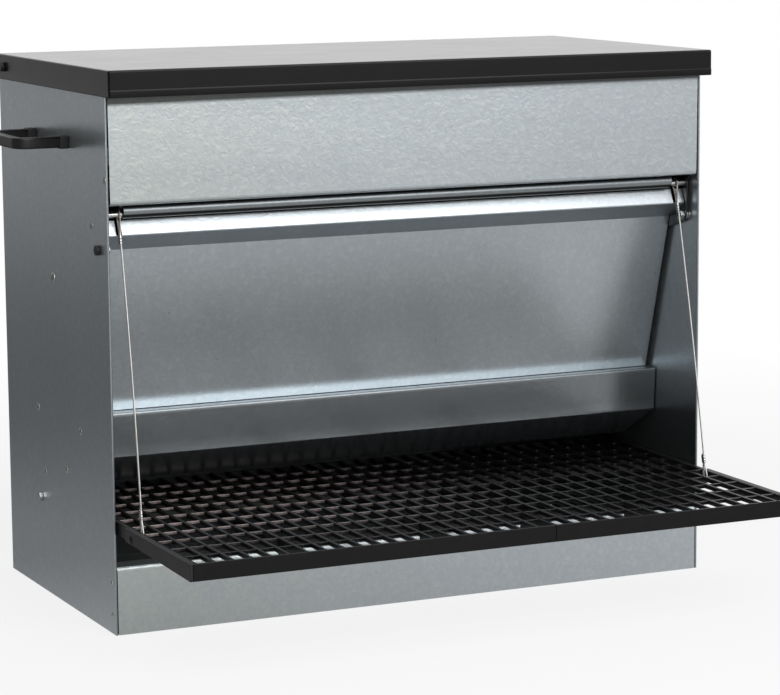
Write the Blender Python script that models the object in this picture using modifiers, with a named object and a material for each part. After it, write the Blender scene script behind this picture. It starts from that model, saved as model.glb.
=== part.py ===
"""Hopper feeder for poultry: a galvanised sheet case with a hopper inside, a hinged lid, and a
feed trough behind a flap that a treadle opens through two steel ropes.

Metres, +Z up, +X to the feeder's right, +Y to its back. The origin is the middle of the case on
the floor. Sections are written as (y, z) points, with y from the case's front face and z from
the floor, along the middle of the sheet. A depth is measured inwards from a side wall's outer face.
"""

import math

import bmesh
import bpy
from mathutils import Matrix, Vector

MM = 0.001

# Clearances and stock
GAP = 0.3 * MM
SHEET = 1.0 * MM
BEND = 1.5 * MM
SIDES = {"left": -1, "right": 1}

# Case
CASE_WIDTH = 700 * MM
CASE_DEPTH = 352 * MM
LID_TOP = 590 * MM
TAB = 16 * MM
PANEL_RETURN = 12 * MM
UPPER_PANEL_BOTTOM = 450 * MM
LOWER_PANEL_TOP = 72 * MM
LOWER_PANEL_LEDGE = 30 * MM
LOWER_PANEL_HEM = 8 * MM
BASE_FLANGE = 16 * MM
TAB_END = 4 * MM

# Lid
LID_SIDE_OVERHANG = 2.5 * MM
LID_FRONT_OVERHANG = 21 * MM
LID_SKIRT = 28 * MM
LID_PIVOT_FROM_BACK = 24 * MM
LID_PIVOT_BELOW_TOP = 14 * MM
LID_OPEN = math.radians(55)
LID_SWING_CLEARANCE = 0.9 * MM

# Hopper chute and its tie tube
CHUTE_ANGLE = math.radians(48.8)
CHUTE_TOP = 492 * MM
CHUTE_LENGTH = 384 * MM
CHUTE_FLANGE = 18 * MM
CHUTE_RIVETS = {"top": 14 * MM, "upper": 81 * MM, "lower": 374 * MM}
TIE_Y = 178 * MM
TIE_Z = 357 * MM
TIE_RADIUS = 5 * MM
TIE_BORE = 2.6 * MM

# Feed trough
LIP_Y = 92.3 * MM
LIP_LEAN = 3.6 * MM
LIP_TOP = 218 * MM
LIP_BOTTOM = 170 * MM
LEDGE_DEPTH = 24 * MM
LIP_TAB = 12 * MM
TROUGH_FOLD_Y = 163 * MM
TROUGH_FOLD_Z = 132 * MM
TROUGH_LOW_Y = 232 * MM
TROUGH_LOW_Z = 125.5 * MM
TROUGH_REAR_ANGLE = math.radians(43)
LIP_RIVET_Y = 100 * MM
LIP_RIVET_Z = 200.5 * MM
MIDDLE_RIVET_ALONG = 55 * MM
REAR_RIVET_ALONG = 59 * MM
TROUGH_RIVET_INSET = 9 * MM
TROUGH_TAB_START = 10 * MM

# Flap
FLAP_PIVOT_Y = 26.6 * MM
FLAP_PIVOT_Z = 402.5 * MM
ROD_Y = 25 * MM
ROD_Z = 439 * MM
ROD_RADIUS = 3.5 * MM
ROD_BARE_END = 25 * MM
ROLL_RADIUS = 5.25 * MM
ROLL_SWEEP = math.radians(300)
ROLL_STEPS = 12
BROW_Y = 30 * MM
BROW_Z = 432 * MM
NOSE_Y = 23 * MM
NOSE_Z = 416.6 * MM
KNEE_Y = 57 * MM
KNEE_Z = 399 * MM
FLAP_FOOT_Y = 110 * MM
FLAP_TAB = 9 * MM
ROPE_SLOT_WIDTH = 6.5 * MM
ROPE_SLOT_DROP = 14.8 * MM
EAR_THICKNESS = 1.5 * MM
EAR_MARGIN = 6.5 * MM
EAR_REACH = 6 * MM

# Treadle
TREADLE_PIVOT_Y = 238 * MM
TREADLE_PIVOT_Z = 105 * MM
TREADLE_TOP = 120.4 * MM
TREADLE_RIM = 14 * MM
TREADLE_FRONT = -216 * MM
TREADLE_SIDE_GAP = 1.8 * MM
BAR_THICKNESS = 3 * MM
SIDE_BAR_END = -28 * MM
ARM_EYE = 14 * MM
ARM_NECK = 18 * MM
RAIL_DEPTH = 20 * MM
RAIL_WALL = 1.5 * MM
RAIL_PLACES = {"front": -130 * MM, "rear": 70 * MM}
SEAM_FROM_LEFT = 405 * MM
LEFT_CELLS = 20
RIGHT_CELLS = 14
CELL_ROWS = 11
ROW_PITCH = 37.8 * MM
LONG_BAR = 4.5 * MM
CROSS_BAR = 4 * MM
BAR_HEIGHT = 4.5 * MM
RIM_THICKNESS = 3 * MM
BAR_SINK = 0.5 * MM
RIB_THICKNESS = 3 * MM
RIB_LINES = (6, 14)

# Ropes between the flap's rod and the treadle
ROPE_RADIUS = 1.0 * MM
ROPE_DEPTH = 15 * MM
ROPE_TOP_DEPTH = {"left": 21.5 * MM, "right": 17 * MM}
ANCHOR_Y = -44.5 * MM
ANCHOR_BELOW_TOP = 9.8 * MM
ANCHOR_RADIUS = 3 * MM
ANCHOR_PAST_ROPE = 9 * MM
ROD_LOOP_PLAY = 1.2 * MM
ANCHOR_LOOP_PLAY = 0.6 * MM
STRAND_SPACING = 2.5 * MM
FERRULE_DISTANCE = 11 * MM
FERRULE_LENGTH = 9 * MM
FERRULE_WALL = 0.7 * MM
ROPE_TAIL = 1 * MM
LOOP_POINTS = 9

# Fasteners
BOLT_RADIUS = 3 * MM
BOLT_FLATS = 10 * MM
BOLT_HEAD = 4 * MM
NUT_HEIGHT = 5 * MM
BOLT_PAST_NUT = 1 * MM
RIVET_RADIUS = 1.6 * MM
RIVET_HEAD_RADIUS = 3 * MM
RIVET_HEAD = 1.3 * MM
RIVET_TAIL_RADIUS = 2.3 * MM
RIVET_TAIL = 0.9 * MM
SCREW_RADIUS = 2.3 * MM
SCREW_HEAD_RADIUS = 4.5 * MM
SCREW_LENGTH = 15 * MM
BUSH_WALL = 2.2 * MM
CROWN_WIDTH = 0.65
CROWN_HEIGHT = 0.8

# Handles
HANDLE_FRONT = 115 * MM
HANDLE_LENGTH = 122 * MM
HANDLE_BELOW_TOP = 82 * MM
HANDLE_REACH = 58 * MM
HANDLE_HEIGHT = 12 * MM
HANDLE_LEG = 13 * MM
HANDLE_GRIP = 11 * MM
HANDLE_CORNER = 10 * MM

# Sizes that follow from those above
HALF_WIDTH = CASE_WIDTH / 2
CASE_TOP = LID_TOP - SHEET - GAP
HANDLE_Z = LID_TOP - HANDLE_BELOW_TOP
SHEET_INSET = SHEET + GAP + SHEET / 2
SHEET_HALF = HALF_WIDTH - SHEET_INSET
BEHIND_FRONT = SHEET_INSET
BEFORE_BACK = CASE_DEPTH - SHEET_INSET
STACK = 2 * SHEET + GAP
RIVET_END = STACK + GAP + RIVET_TAIL
EAR_DEPTH = RIVET_END + GAP
FLAP_DEPTH = EAR_DEPTH + EAR_THICKNESS + GAP
FLAP_HALF = HALF_WIDTH - FLAP_DEPTH - SHEET / 2
ARM_DEPTH = TREADLE_SIDE_GAP + BAR_THICKNESS + GAP
GRATING_DEPTH = ARM_DEPTH + BAR_THICKNESS + GAP
LID_PIVOT_Y = CASE_DEPTH - LID_PIVOT_FROM_BACK
LID_PIVOT_Z = LID_TOP - LID_PIVOT_BELOW_TOP
LID_SWING = LID_PIVOT_BELOW_TOP - SHEET - LID_SWING_CLEARANCE
REAR_TOP = LID_PIVOT_Z + (LID_SWING - LID_PIVOT_FROM_BACK * math.sin(LID_OPEN)) / math.cos(LID_OPEN)
ANCHOR_Z = TREADLE_TOP - ANCHOR_BELOW_TOP
CHUTE_SLOPE = Vector((math.cos(CHUTE_ANGLE), -math.sin(CHUTE_ANGLE)))
CHUTE_UNDER = Vector((-math.sin(CHUTE_ANGLE), -math.cos(CHUTE_ANGLE)))
CHUTE_START = Vector((BEHIND_FRONT, CHUTE_TOP))
HOLE = BOLT_RADIUS + GAP

for old in list(bpy.data.objects):
    bpy.data.objects.remove(old, do_unlink=True)

parts = bpy.data.collections.new("hopper_feeder")
helpers = bpy.data.collections.new("cutters")
bpy.context.scene.collection.children.link(parts)
bpy.context.scene.collection.children.link(helpers)


def world(x, y, z):
    """A point of the feeder, from its distance behind the front face to the shared frame."""
    return Vector((x, y - CASE_DEPTH / 2, z))


def finish(name, colour, roughness, metallic):
    """A material of one colour."""
    made = bpy.data.materials.new(name)
    made.use_nodes = True
    shader = made.node_tree.nodes["Principled BSDF"]
    shader.inputs["Base Color"].default_value = (*colour, 1)
    shader.inputs["Roughness"].default_value = roughness
    shader.inputs["Metallic"].default_value = metallic
    made.diffuse_color = (*colour, 1)
    return made


LOOKS = {
    "galvanised": ((0.52, 0.55, 0.57), 0.38, 1.0),
    "black_coat": ((0.020, 0.018, 0.017), 0.35, 0.0),
    "black_plastic": ((0.014, 0.013, 0.013), 0.45, 0.0),
    "bright_steel": ((0.60, 0.60, 0.60), 0.30, 1.0),
    "dark_steel": ((0.12, 0.12, 0.12), 0.45, 1.0),
}


def add_part(name, mesh, look, parent=None):
    """Links a mesh as a named part with its own material, under the empty of its joint if it has one."""
    part = bpy.data.objects.new(name, mesh)
    mesh.materials.clear()
    mesh.materials.append(finish(name, *LOOKS[look]))
    parts.objects.link(part)
    if parent:
        part.parent = parent
        part.location = -parent.location
    return part


def add_helper(name, mesh):
    """Links a mesh that only cuts or joins."""
    helper = bpy.data.objects.new(name, mesh)
    helper.hide_render = True
    helper.display_type = "WIRE"
    helpers.objects.link(helper)
    return helper


def pivot(name, y, z, x=0.0):
    """An empty on the axis of a joint."""
    empty = bpy.data.objects.new(name, None)
    empty.location = world(x, y, z)
    parts.objects.link(empty)
    return empty


def boolean(part, other, operation):
    """Cuts the part by the other object, or joins the two."""
    modifier = part.modifiers.new(operation.lower(), "BOOLEAN")
    modifier.operation = operation
    modifier.object = other
    modifier.solver = "EXACT"


def box_mesh(name, boxes):
    """A mesh of separate boxes, each from its low to its high corner."""
    mesh = bpy.data.meshes.new(name)
    shape = bmesh.new()
    for low, high in boxes:
        size = high - low
        matrix = Matrix.Translation((low + high) / 2) @ Matrix.Diagonal((*size, 1))
        bmesh.ops.create_cube(shape, size=1, matrix=matrix)
    shape.to_mesh(mesh)
    shape.free()
    return mesh


def rod_mesh(name, rods, sides=12):
    """A mesh of separate cylinders along X, each from (x, y, z) with its length and radius."""
    mesh = bpy.data.meshes.new(name)
    shape = bmesh.new()
    turn = Matrix.Rotation(math.radians(90), 4, "Y")
    for middle, length, radius in rods:
        bmesh.ops.create_cone(
            shape, cap_ends=True, segments=sides, radius1=radius, radius2=radius, depth=length,
            matrix=Matrix.Translation(middle) @ turn,
        )
    shape.to_mesh(mesh)
    shape.free()
    return mesh


def rounded(corners, radius, steps=2):
    """The outline with an arc in place of each corner that has another on both sides of it."""
    outline = [Vector(corners[0])]
    for before, corner, after in zip(corners, corners[1:], corners[2:]):
        before, corner, after = Vector(before), Vector(corner), Vector(after)
        into = (corner - before).normalized()
        out = (after - corner).normalized()
        turn = math.acos(max(-1, min(1, into.dot(out))))
        reach = radius * math.tan(turn / 2)
        for step in range(steps + 1):
            share = step / steps
            start = corner - into * reach * (1 - share)
            end = corner + out * reach * share
            outline.append(start.lerp(end, share))
    outline.append(Vector(corners[-1]))
    return outline


def folded_sheet(name, look, corners, half_width, tabs=(), parent=None, roll=()):
    """A sheet folded along X. Its section runs through the corners, after the points of a roll.

    Each tab is (corner before it, start along the fold, end, height, start at its free edge). The
    height is negative where the tab turns to the right of the section's direction.
    """
    corners = [Vector(corner) for corner in corners]
    path = list(roll) + rounded(corners, BEND)
    wings = []
    for index, start, end, height, free_start in tabs:
        along = (corners[index + 1] - corners[index]).normalized()
        side = Vector((-along.y, along.x)) * height
        first, last = corners[index] + along * start, corners[index] + along * end
        free = corners[index] + along * free_start + side
        wings.append((first, last, free, last + side))
        for point in (first, last):
            spot = next(
                i for i, (a, b) in enumerate(zip(path, path[1:]))
                if abs((b - a).normalized().dot(along) - 1) < 1e-5
                and abs((point - a).dot(Vector((-along.y, along.x)))) < 1e-6
                and 0 < (point - a).dot(along) < (b - a).length
            )
            path.insert(spot + 1, point)
    shape = bmesh.new()
    rows = [[shape.verts.new(world(side * half_width, *point)) for side in (-1, 1)] for point in path]
    for (a, b), (c, d) in zip(rows, rows[1:]):
        shape.faces.new((a, b, d, c))
    for first, last, free, free_end in wings:
        low, high = path.index(first), path.index(last)
        for column, side in enumerate((-1, 1)):
            root = [row[column] for row in rows[low : high + 1]]
            edge = [shape.verts.new(world(side * half_width, *point)) for point in (free_end, free)]
            shape.faces.new(root + edge)
    bmesh.ops.recalc_face_normals(shape, faces=shape.faces)
    mesh = bpy.data.meshes.new(name)
    shape.to_mesh(mesh)
    shape.free()
    part = add_part(name, mesh, look, parent)
    thicken(part)
    return part


def thicken(part):
    """Gives a folded surface the thickness of the sheet, half on each side of it."""
    solid = part.modifiers.new("thickness", "SOLIDIFY")
    solid.solidify_mode = "NON_MANIFOLD"
    solid.nonmanifold_thickness_mode = "CONSTRAINTS"
    solid.thickness = SHEET
    solid.offset = 0


def circle(centre, radius, sides=12):
    """Points on a circle."""
    angles = [2 * math.pi * step / sides for step in range(sides)]
    return [Vector(centre) + radius * Vector((math.cos(a), math.sin(a))) for a in angles]


def hexagon(centre, across_flats):
    return circle(centre, across_flats / math.sqrt(3), sides=6)


def round_hull(corners, radius, steps=3):
    """The outline at one distance round a convex polygon whose corners run anticlockwise."""
    outline = []
    count = len(corners)
    for index in range(count):
        before, corner, after = (Vector(corners[(index + shift) % count]) for shift in (-1, 0, 1))
        into, out = corner - before, after - corner
        start = math.atan2(-into.x, into.y)
        turn = (math.atan2(-out.x, out.y) - start) % (2 * math.pi)
        for step in range(steps + 1):
            angle = start + turn * step / steps
            outline.append(corner + radius * Vector((math.cos(angle), math.sin(angle))))
    return outline


def plate_mesh(name, outlines, thickness, matrix):
    """A flat plate from its outline and the outlines of its holes, centred on its own plane."""
    curve = bpy.data.curves.new(name, "CURVE")
    curve.dimensions = "2D"
    curve.fill_mode = "BOTH"
    curve.extrude = thickness / 2
    for outline in outlines:
        spline = curve.splines.new("POLY")
        spline.points.add(len(outline) - 1)
        for point, place in zip(spline.points, outline):
            point.co = (place.x, place.y, 0, 1)
        spline.use_cyclic_u = True
    return solid_from_curve(curve, matrix)


def solid_from_curve(curve, matrix):
    """The curve's solid as a closed mesh in place, with its caps welded on."""
    guide = bpy.data.objects.new(curve.name, curve)
    helpers.objects.link(guide)
    graph = bpy.context.evaluated_depsgraph_get()
    mesh = bpy.data.meshes.new_from_object(guide.evaluated_get(graph))
    bpy.data.objects.remove(guide)
    shape = bmesh.new()
    shape.from_mesh(mesh)
    bmesh.ops.remove_doubles(shape, verts=shape.verts, dist=0.01 * MM)
    bmesh.ops.recalc_face_normals(shape, faces=shape.faces)
    shape.to_mesh(mesh)
    shape.free()
    mesh.transform(matrix)
    return mesh


def upright_plate(name, look, outlines, x, thickness, parent=None):
    """A plate or a tube whose section stands in the YZ plane, centred on this x."""
    matrix = Matrix(((0, 0, 1, x), (1, 0, 0, -CASE_DEPTH / 2), (0, 1, 0, 0), (0, 0, 0, 1)))
    return add_part(name, plate_mesh(name, outlines, thickness, matrix), look, parent)


def side_plate(name, look, outlines, side, depth, thickness, parent=None):
    """An upright plate beside a wall, its outer face at this depth from the outside of the wall."""
    x = side * (HALF_WIDTH - depth - thickness / 2)
    return upright_plate(name, look, outlines, x, thickness, parent)


def rectangle(low, high):
    """The corners of a rectangle of the section, anticlockwise."""
    return [Vector(low), Vector((high[0], low[1])), Vector(high), Vector((low[0], high[1]))]


def turned(name, look, profile, y, z, side, steps=8, parent=None):
    """A turned piece on an axis along X. Its profile is (radius, distance out from the wall)."""
    mesh = bpy.data.meshes.new(name)
    shape = bmesh.new()
    points = [shape.verts.new((radius, 0, out)) for radius, out in profile]
    for a, b in zip(points, points[1:]):
        shape.edges.new((a, b))
    if profile[0][0] > 0:
        shape.edges.new((points[-1], points[0]))
    shape.to_mesh(mesh)
    shape.free()
    part = add_part(name, mesh, look)
    part.location = world(side * HALF_WIDTH, y, z)
    part.rotation_euler = (0, side * math.radians(90), 0)
    if parent:
        part.parent = parent
        part.location -= parent.location
    screw = part.modifiers.new("turn", "SCREW")
    screw.steps = steps
    screw.render_steps = steps
    screw.use_merge_vertices = True
    screw.merge_threshold = 0.01 * MM
    screw.use_smooth_shade = False
    return part


def rivet(name, y, z, side):
    """A blind rivet through a wall and the tab behind it."""
    profile = [
        (0, GAP + RIVET_HEAD),
        (CROWN_WIDTH * RIVET_HEAD_RADIUS, GAP + CROWN_HEIGHT * RIVET_HEAD),
        (RIVET_HEAD_RADIUS, GAP),
        (RIVET_RADIUS, GAP),
        (RIVET_RADIUS, -STACK - GAP),
        (RIVET_TAIL_RADIUS, -STACK - GAP),
        (RIVET_TAIL_RADIUS, -RIVET_END),
        (0, -RIVET_END),
    ]
    turned(name, "bright_steel", profile, y, z, side)


def hex_bolt(name, look, y, z, side, head_out, length):
    """A hexagon-head bolt along X. Its head starts this far outside the wall."""
    start = side * (HALF_WIDTH + head_out)
    centre = world(start + side * BOLT_HEAD / 2, y, z)
    radius = BOLT_FLATS / math.sqrt(3)
    head = add_part(name, rod_mesh(name, [(centre, BOLT_HEAD, radius)], sides=6), look)
    reach = length + BOLT_HEAD / 2
    middle = world(start + side * (BOLT_HEAD / 2 - reach / 2), y, z)
    shank = add_helper(name + "_shank", rod_mesh(name + "_shank", [(middle, reach, BOLT_RADIUS)]))
    boolean(head, shank, "UNION")


def nut(name, y, z, side, depth):
    """A hexagon nut on a bolt, its outer face at this depth inside the wall."""
    outlines = [hexagon((y, z), BOLT_FLATS), circle((y, z), HOLE)]
    side_plate(name, "bright_steel", outlines, side, depth, NUT_HEIGHT)


def chute_point(along, under=0.0):
    """A point of the chute's section, this far down its slope and below its sheet."""
    return CHUTE_START + CHUTE_SLOPE * along + CHUTE_UNDER * under


# The section of the trough, from the rear of its ledge over the lip and up to the back panel
trough_rear_y = BEFORE_BACK
trough_rear_z = TROUGH_LOW_Z + (trough_rear_y - TROUGH_LOW_Y) * math.tan(TROUGH_REAR_ANGLE)
LIP_MIDDLE = LIP_Y + SHEET / 2
LEDGE_Z = LIP_TOP - SHEET / 2
trough_section = [
    Vector((LIP_Y + LEDGE_DEPTH, LEDGE_Z)),
    Vector((LIP_MIDDLE, LEDGE_Z)),
    Vector((LIP_MIDDLE + LIP_LEAN, LIP_BOTTOM)),
    Vector((TROUGH_FOLD_Y, TROUGH_FOLD_Z)),
    Vector((TROUGH_LOW_Y, TROUGH_LOW_Z)),
    Vector((trough_rear_y, trough_rear_z)),
    Vector((trough_rear_y, trough_rear_z + TAB)),
]


def trough_point(corner, along, inside):
    """A point inside the trough, along the fold that starts at this corner."""
    start, end = trough_section[corner], trough_section[corner + 1]
    direction = (end - start).normalized()
    return start + direction * along + Vector((-direction.y, direction.x)) * inside


# Places of the rivets that hold the chute and the trough between the side walls
rivet_places = {"chute_" + key + "_rivet": chute_point(along, TAB / 2) for key, along in CHUTE_RIVETS.items()}
rivet_places["trough_lip_rivet"] = Vector((LIP_RIVET_Y, LIP_RIVET_Z))
rivet_places["trough_middle_rivet"] = trough_point(2, MIDDLE_RIVET_ALONG, TROUGH_RIVET_INSET)
rivet_places["trough_rear_rivet"] = trough_point(3, REAR_RIVET_ALONG, TROUGH_RIVET_INSET)

# One cutter bores every hole in the walls, the tabs and the lid
bores = [(place.x, place.y, RIVET_RADIUS + GAP) for place in rivet_places.values()]
bores.append((TIE_Y, TIE_Z, SCREW_RADIUS + GAP))
bores.append((FLAP_PIVOT_Y, FLAP_PIVOT_Z, HOLE))
bores.append((TREADLE_PIVOT_Y, TREADLE_PIVOT_Z, HOLE))
bores.append((LID_PIVOT_Y, LID_PIVOT_Z, HOLE))
bore_length = 2 * (STACK + LID_SIDE_OVERHANG)
holes = add_helper(
    "fastener_holes",
    rod_mesh(
        "fastener_holes",
        [
            (world(side * HALF_WIDTH, y, z), bore_length, radius)
            for y, z, radius in bores
            for side in SIDES.values()
        ],
        sides=10,
    ),
)


def make_walls():
    """The two side walls. Their upper rear corners are cut back for the lid to swing over them."""
    outline = [Vector((0, 0)), Vector((CASE_DEPTH, 0)), Vector((CASE_DEPTH, REAR_TOP))]
    for share in (1, 0.5, 0):
        angle = LID_OPEN * share
        reach = LID_SWING * Vector((math.sin(angle), math.cos(angle)))
        outline.append(Vector((LID_PIVOT_Y, LID_PIVOT_Z)) + reach)
    outline.append(Vector((LID_PIVOT_Y - LID_SWING, CASE_TOP)))
    outline.append(Vector((0, CASE_TOP)))
    for word, side in SIDES.items():
        wall = side_plate("side_panel_" + word, "galvanised", [outline], side, 0, SHEET)
        boolean(wall, holes, "DIFFERENCE")


def make_panels():
    """The folded panels between the walls: front, back and base."""
    front = SHEET / 2
    top = CASE_TOP - SHEET / 2
    folded_sheet(
        "upper_front_panel", "galvanised",
        [
            (front + PANEL_RETURN, top),
            (front, top),
            (front, UPPER_PANEL_BOTTOM + SHEET / 2),
            (front + PANEL_RETURN, UPPER_PANEL_BOTTOM + SHEET / 2),
        ],
        SHEET_HALF,
        tabs=[(1, TAB_END, top - CHUTE_TOP - CHUTE_FLANGE - TAB_END, PANEL_RETURN, TAB_END)],
    )
    ledge = LOWER_PANEL_TOP - SHEET / 2
    folded_sheet(
        "lower_front_panel", "galvanised",
        [
            (front, 0),
            (front, ledge),
            (LOWER_PANEL_LEDGE, ledge),
            (LOWER_PANEL_LEDGE, ledge - LOWER_PANEL_HEM),
        ],
        SHEET_HALF,
        tabs=[(0, TAB_END, ledge - LOWER_PANEL_HEM - TAB_END, -TAB, TAB_END)],
    )
    back = CASE_DEPTH - SHEET / 2
    low_tab = trough_rear_z - TAB * math.tan(TROUGH_REAR_ANGLE) - 2 * TAB_END
    high_tab = trough_rear_z + TAB + 2 * TAB_END
    folded_sheet(
        "back_panel", "galvanised",
        [(back, REAR_TOP), (back, 0)],
        SHEET_HALF,
        tabs=[
            (0, TAB, REAR_TOP - high_tab, -TAB, TAB),
            (0, REAR_TOP - low_tab, REAR_TOP - BASE_FLANGE - TAB_END, -TAB, REAR_TOP - low_tab),
        ],
    )
    floor = SHEET / 2
    folded_sheet(
        "base_panel", "galvanised",
        [
            (BEHIND_FRONT, BASE_FLANGE),
            (BEHIND_FRONT, floor),
            (BEFORE_BACK, floor),
            (BEFORE_BACK, BASE_FLANGE),
        ],
        SHEET_HALF - SHEET - GAP,
        tabs=[(1, TAB_END, BEFORE_BACK - BEHIND_FRONT - TAB_END, BASE_FLANGE - floor, TAB_END)],
    )


def make_hopper():
    """The sloped chute that closes the hopper's front, and the tie tube across it."""
    corners = [
        CHUTE_START + Vector((0, CHUTE_FLANGE)),
        CHUTE_START,
        chute_point(CHUTE_LENGTH),
    ]
    free_start = TAB * math.tan(CHUTE_ANGLE) + SHEET
    chute = folded_sheet(
        "hopper_chute", "galvanised", corners, SHEET_HALF,
        tabs=[(1, TAB_END / 2, CHUTE_LENGTH - TAB_END / 2, -TAB, free_start)],
    )
    boolean(chute, holes, "DIFFERENCE")
    half = HALF_WIDTH - SHEET - GAP
    ring = [(TIE_RADIUS, half), (TIE_RADIUS, -half), (TIE_BORE, -half), (TIE_BORE, half)]
    tube = turned("hopper_tie_tube", "galvanised", ring, TIE_Y, TIE_Z, 1, steps=12)
    tube.location.x = 0
    for word, side in SIDES.items():
        profile = [
            (0, GAP + SCREW_RADIUS),
            (CROWN_WIDTH * SCREW_HEAD_RADIUS, GAP + CROWN_HEIGHT * SCREW_RADIUS),
            (SCREW_HEAD_RADIUS, GAP),
            (SCREW_RADIUS, GAP),
            (SCREW_RADIUS, -SCREW_LENGTH),
            (0, -SCREW_LENGTH),
        ]
        turned("tie_screw_" + word, "bright_steel", profile, TIE_Y, TIE_Z, side)


def make_trough():
    """The feed trough, one sheet folded from the lip under the hopper up to the back panel."""
    lip_length = (trough_section[2] - trough_section[1]).length
    under = (trough_section[3] - trough_section[2]).length
    bottom = (trough_section[4] - trough_section[3]).length
    rear = (BEFORE_BACK - TAB - SHEET - GAP - TROUGH_LOW_Y) / math.cos(TROUGH_REAR_ANGLE) - TAB
    trough = folded_sheet(
        "feed_trough", "galvanised", trough_section, SHEET_HALF,
        tabs=[
            (1, TAB_END, lip_length - TAB_END, LIP_TAB, TAB_END),
            (2, TAB_END, under - 2 * TAB_END, TAB, TROUGH_TAB_START),
            (3, 2 * TAB_END, bottom - TAB_END, TAB, 2 * TAB_END),
            (4, TAB, rear, TAB, TAB),
        ],
    )
    boolean(trough, holes, "DIFFERENCE")


def make_lid():
    """The lid: a top with a skirt all round. The rear skirt hangs between the walls, to swing inwards."""
    half = HALF_WIDTH + LID_SIDE_OVERHANG - SHEET / 2
    skirt_bottom = LID_TOP - LID_SKIRT
    low = world(-half, -LID_FRONT_OVERHANG + SHEET / 2, skirt_bottom)
    high = world(half, BEFORE_BACK, LID_TOP - SHEET / 2)
    hinge = pivot("lid_axis", LID_PIVOT_Y, LID_PIVOT_Z)
    mesh = box_mesh("lid", [(low, high)])
    shape = bmesh.new()
    shape.from_mesh(mesh)
    open_faces = [face for face in shape.faces if face.normal.z < -0.5 or face.normal.y > 0.5]
    bmesh.ops.delete(shape, geom=open_faces, context="FACES")
    top = next(face for face in shape.faces if face.normal.z > 0.5)
    rear_edge = max(top.edges, key=lambda edge: sum(vert.co.y for vert in edge.verts))
    for side in (-1, 1):
        start = min(rear_edge.verts, key=lambda vert: vert.co.x * -side)
        other = rear_edge.other_vert(start)
        share = (start.co.x - side * SHEET_HALF) / (start.co.x - other.co.x)
        outer, _ = bmesh.utils.edge_split(rear_edge, start, share)
        pieces = [edge for edge in top.edges if abs(edge.verts[0].co.y - edge.verts[1].co.y) < GAP]
        pieces = [edge for edge in pieces if edge.verts[0].co.y > 0 and edge is not outer]
        rear_edge = max(pieces, key=lambda edge: edge.calc_length())
    hem = [shape.verts.new((vert.co.x, vert.co.y, skirt_bottom)) for vert in rear_edge.verts]
    shape.faces.new((rear_edge.verts[0], rear_edge.verts[1], hem[1], hem[0]))
    bmesh.ops.recalc_face_normals(shape, faces=shape.faces)
    shape.to_mesh(mesh)
    shape.free()
    lid = add_part("lid", mesh, "black_coat", hinge)
    thicken(lid)
    boolean(lid, holes, "DIFFERENCE")
    for word, side in SIDES.items():
        nut_depth = SHEET + GAP
        out = LID_SIDE_OVERHANG + GAP
        length = out + nut_depth + NUT_HEIGHT + BOLT_PAST_NUT
        hex_bolt("lid_bolt_" + word, "dark_steel", LID_PIVOT_Y, LID_PIVOT_Z, side, out, length)
        nut("lid_nut_" + word, LID_PIVOT_Y, LID_PIVOT_Z, side, nut_depth)


def make_handles():
    """A moulded grip on each side wall."""
    middle = HALF_WIDTH + GAP
    for word, side in SIDES.items():
        rear = HANDLE_FRONT + HANDLE_LENGTH
        outer = HANDLE_REACH
        inner = HANDLE_REACH - HANDLE_GRIP
        corners = [
            (0, HANDLE_FRONT),
            (outer, HANDLE_FRONT),
            (outer, rear),
            (0, rear),
            (0, rear - HANDLE_LEG),
            (inner, rear - HANDLE_LEG),
            (inner, HANDLE_FRONT + HANDLE_LEG),
            (0, HANDLE_FRONT + HANDLE_LEG),
        ]
        grip = rounded(corners[:4], HANDLE_CORNER, steps=3)
        grip += rounded(corners[4:], HANDLE_CORNER / 2, steps=2)
        place = Matrix.Translation(world(side * middle, 0, HANDLE_Z))
        mirror = Matrix.Diagonal((side, 1, 1, 1))
        mesh = plate_mesh("handle_" + word, [grip], HANDLE_HEIGHT, place @ mirror)
        if side < 0:
            mesh.flip_normals()
        add_part("handle_" + word, mesh, "black_plastic")


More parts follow.
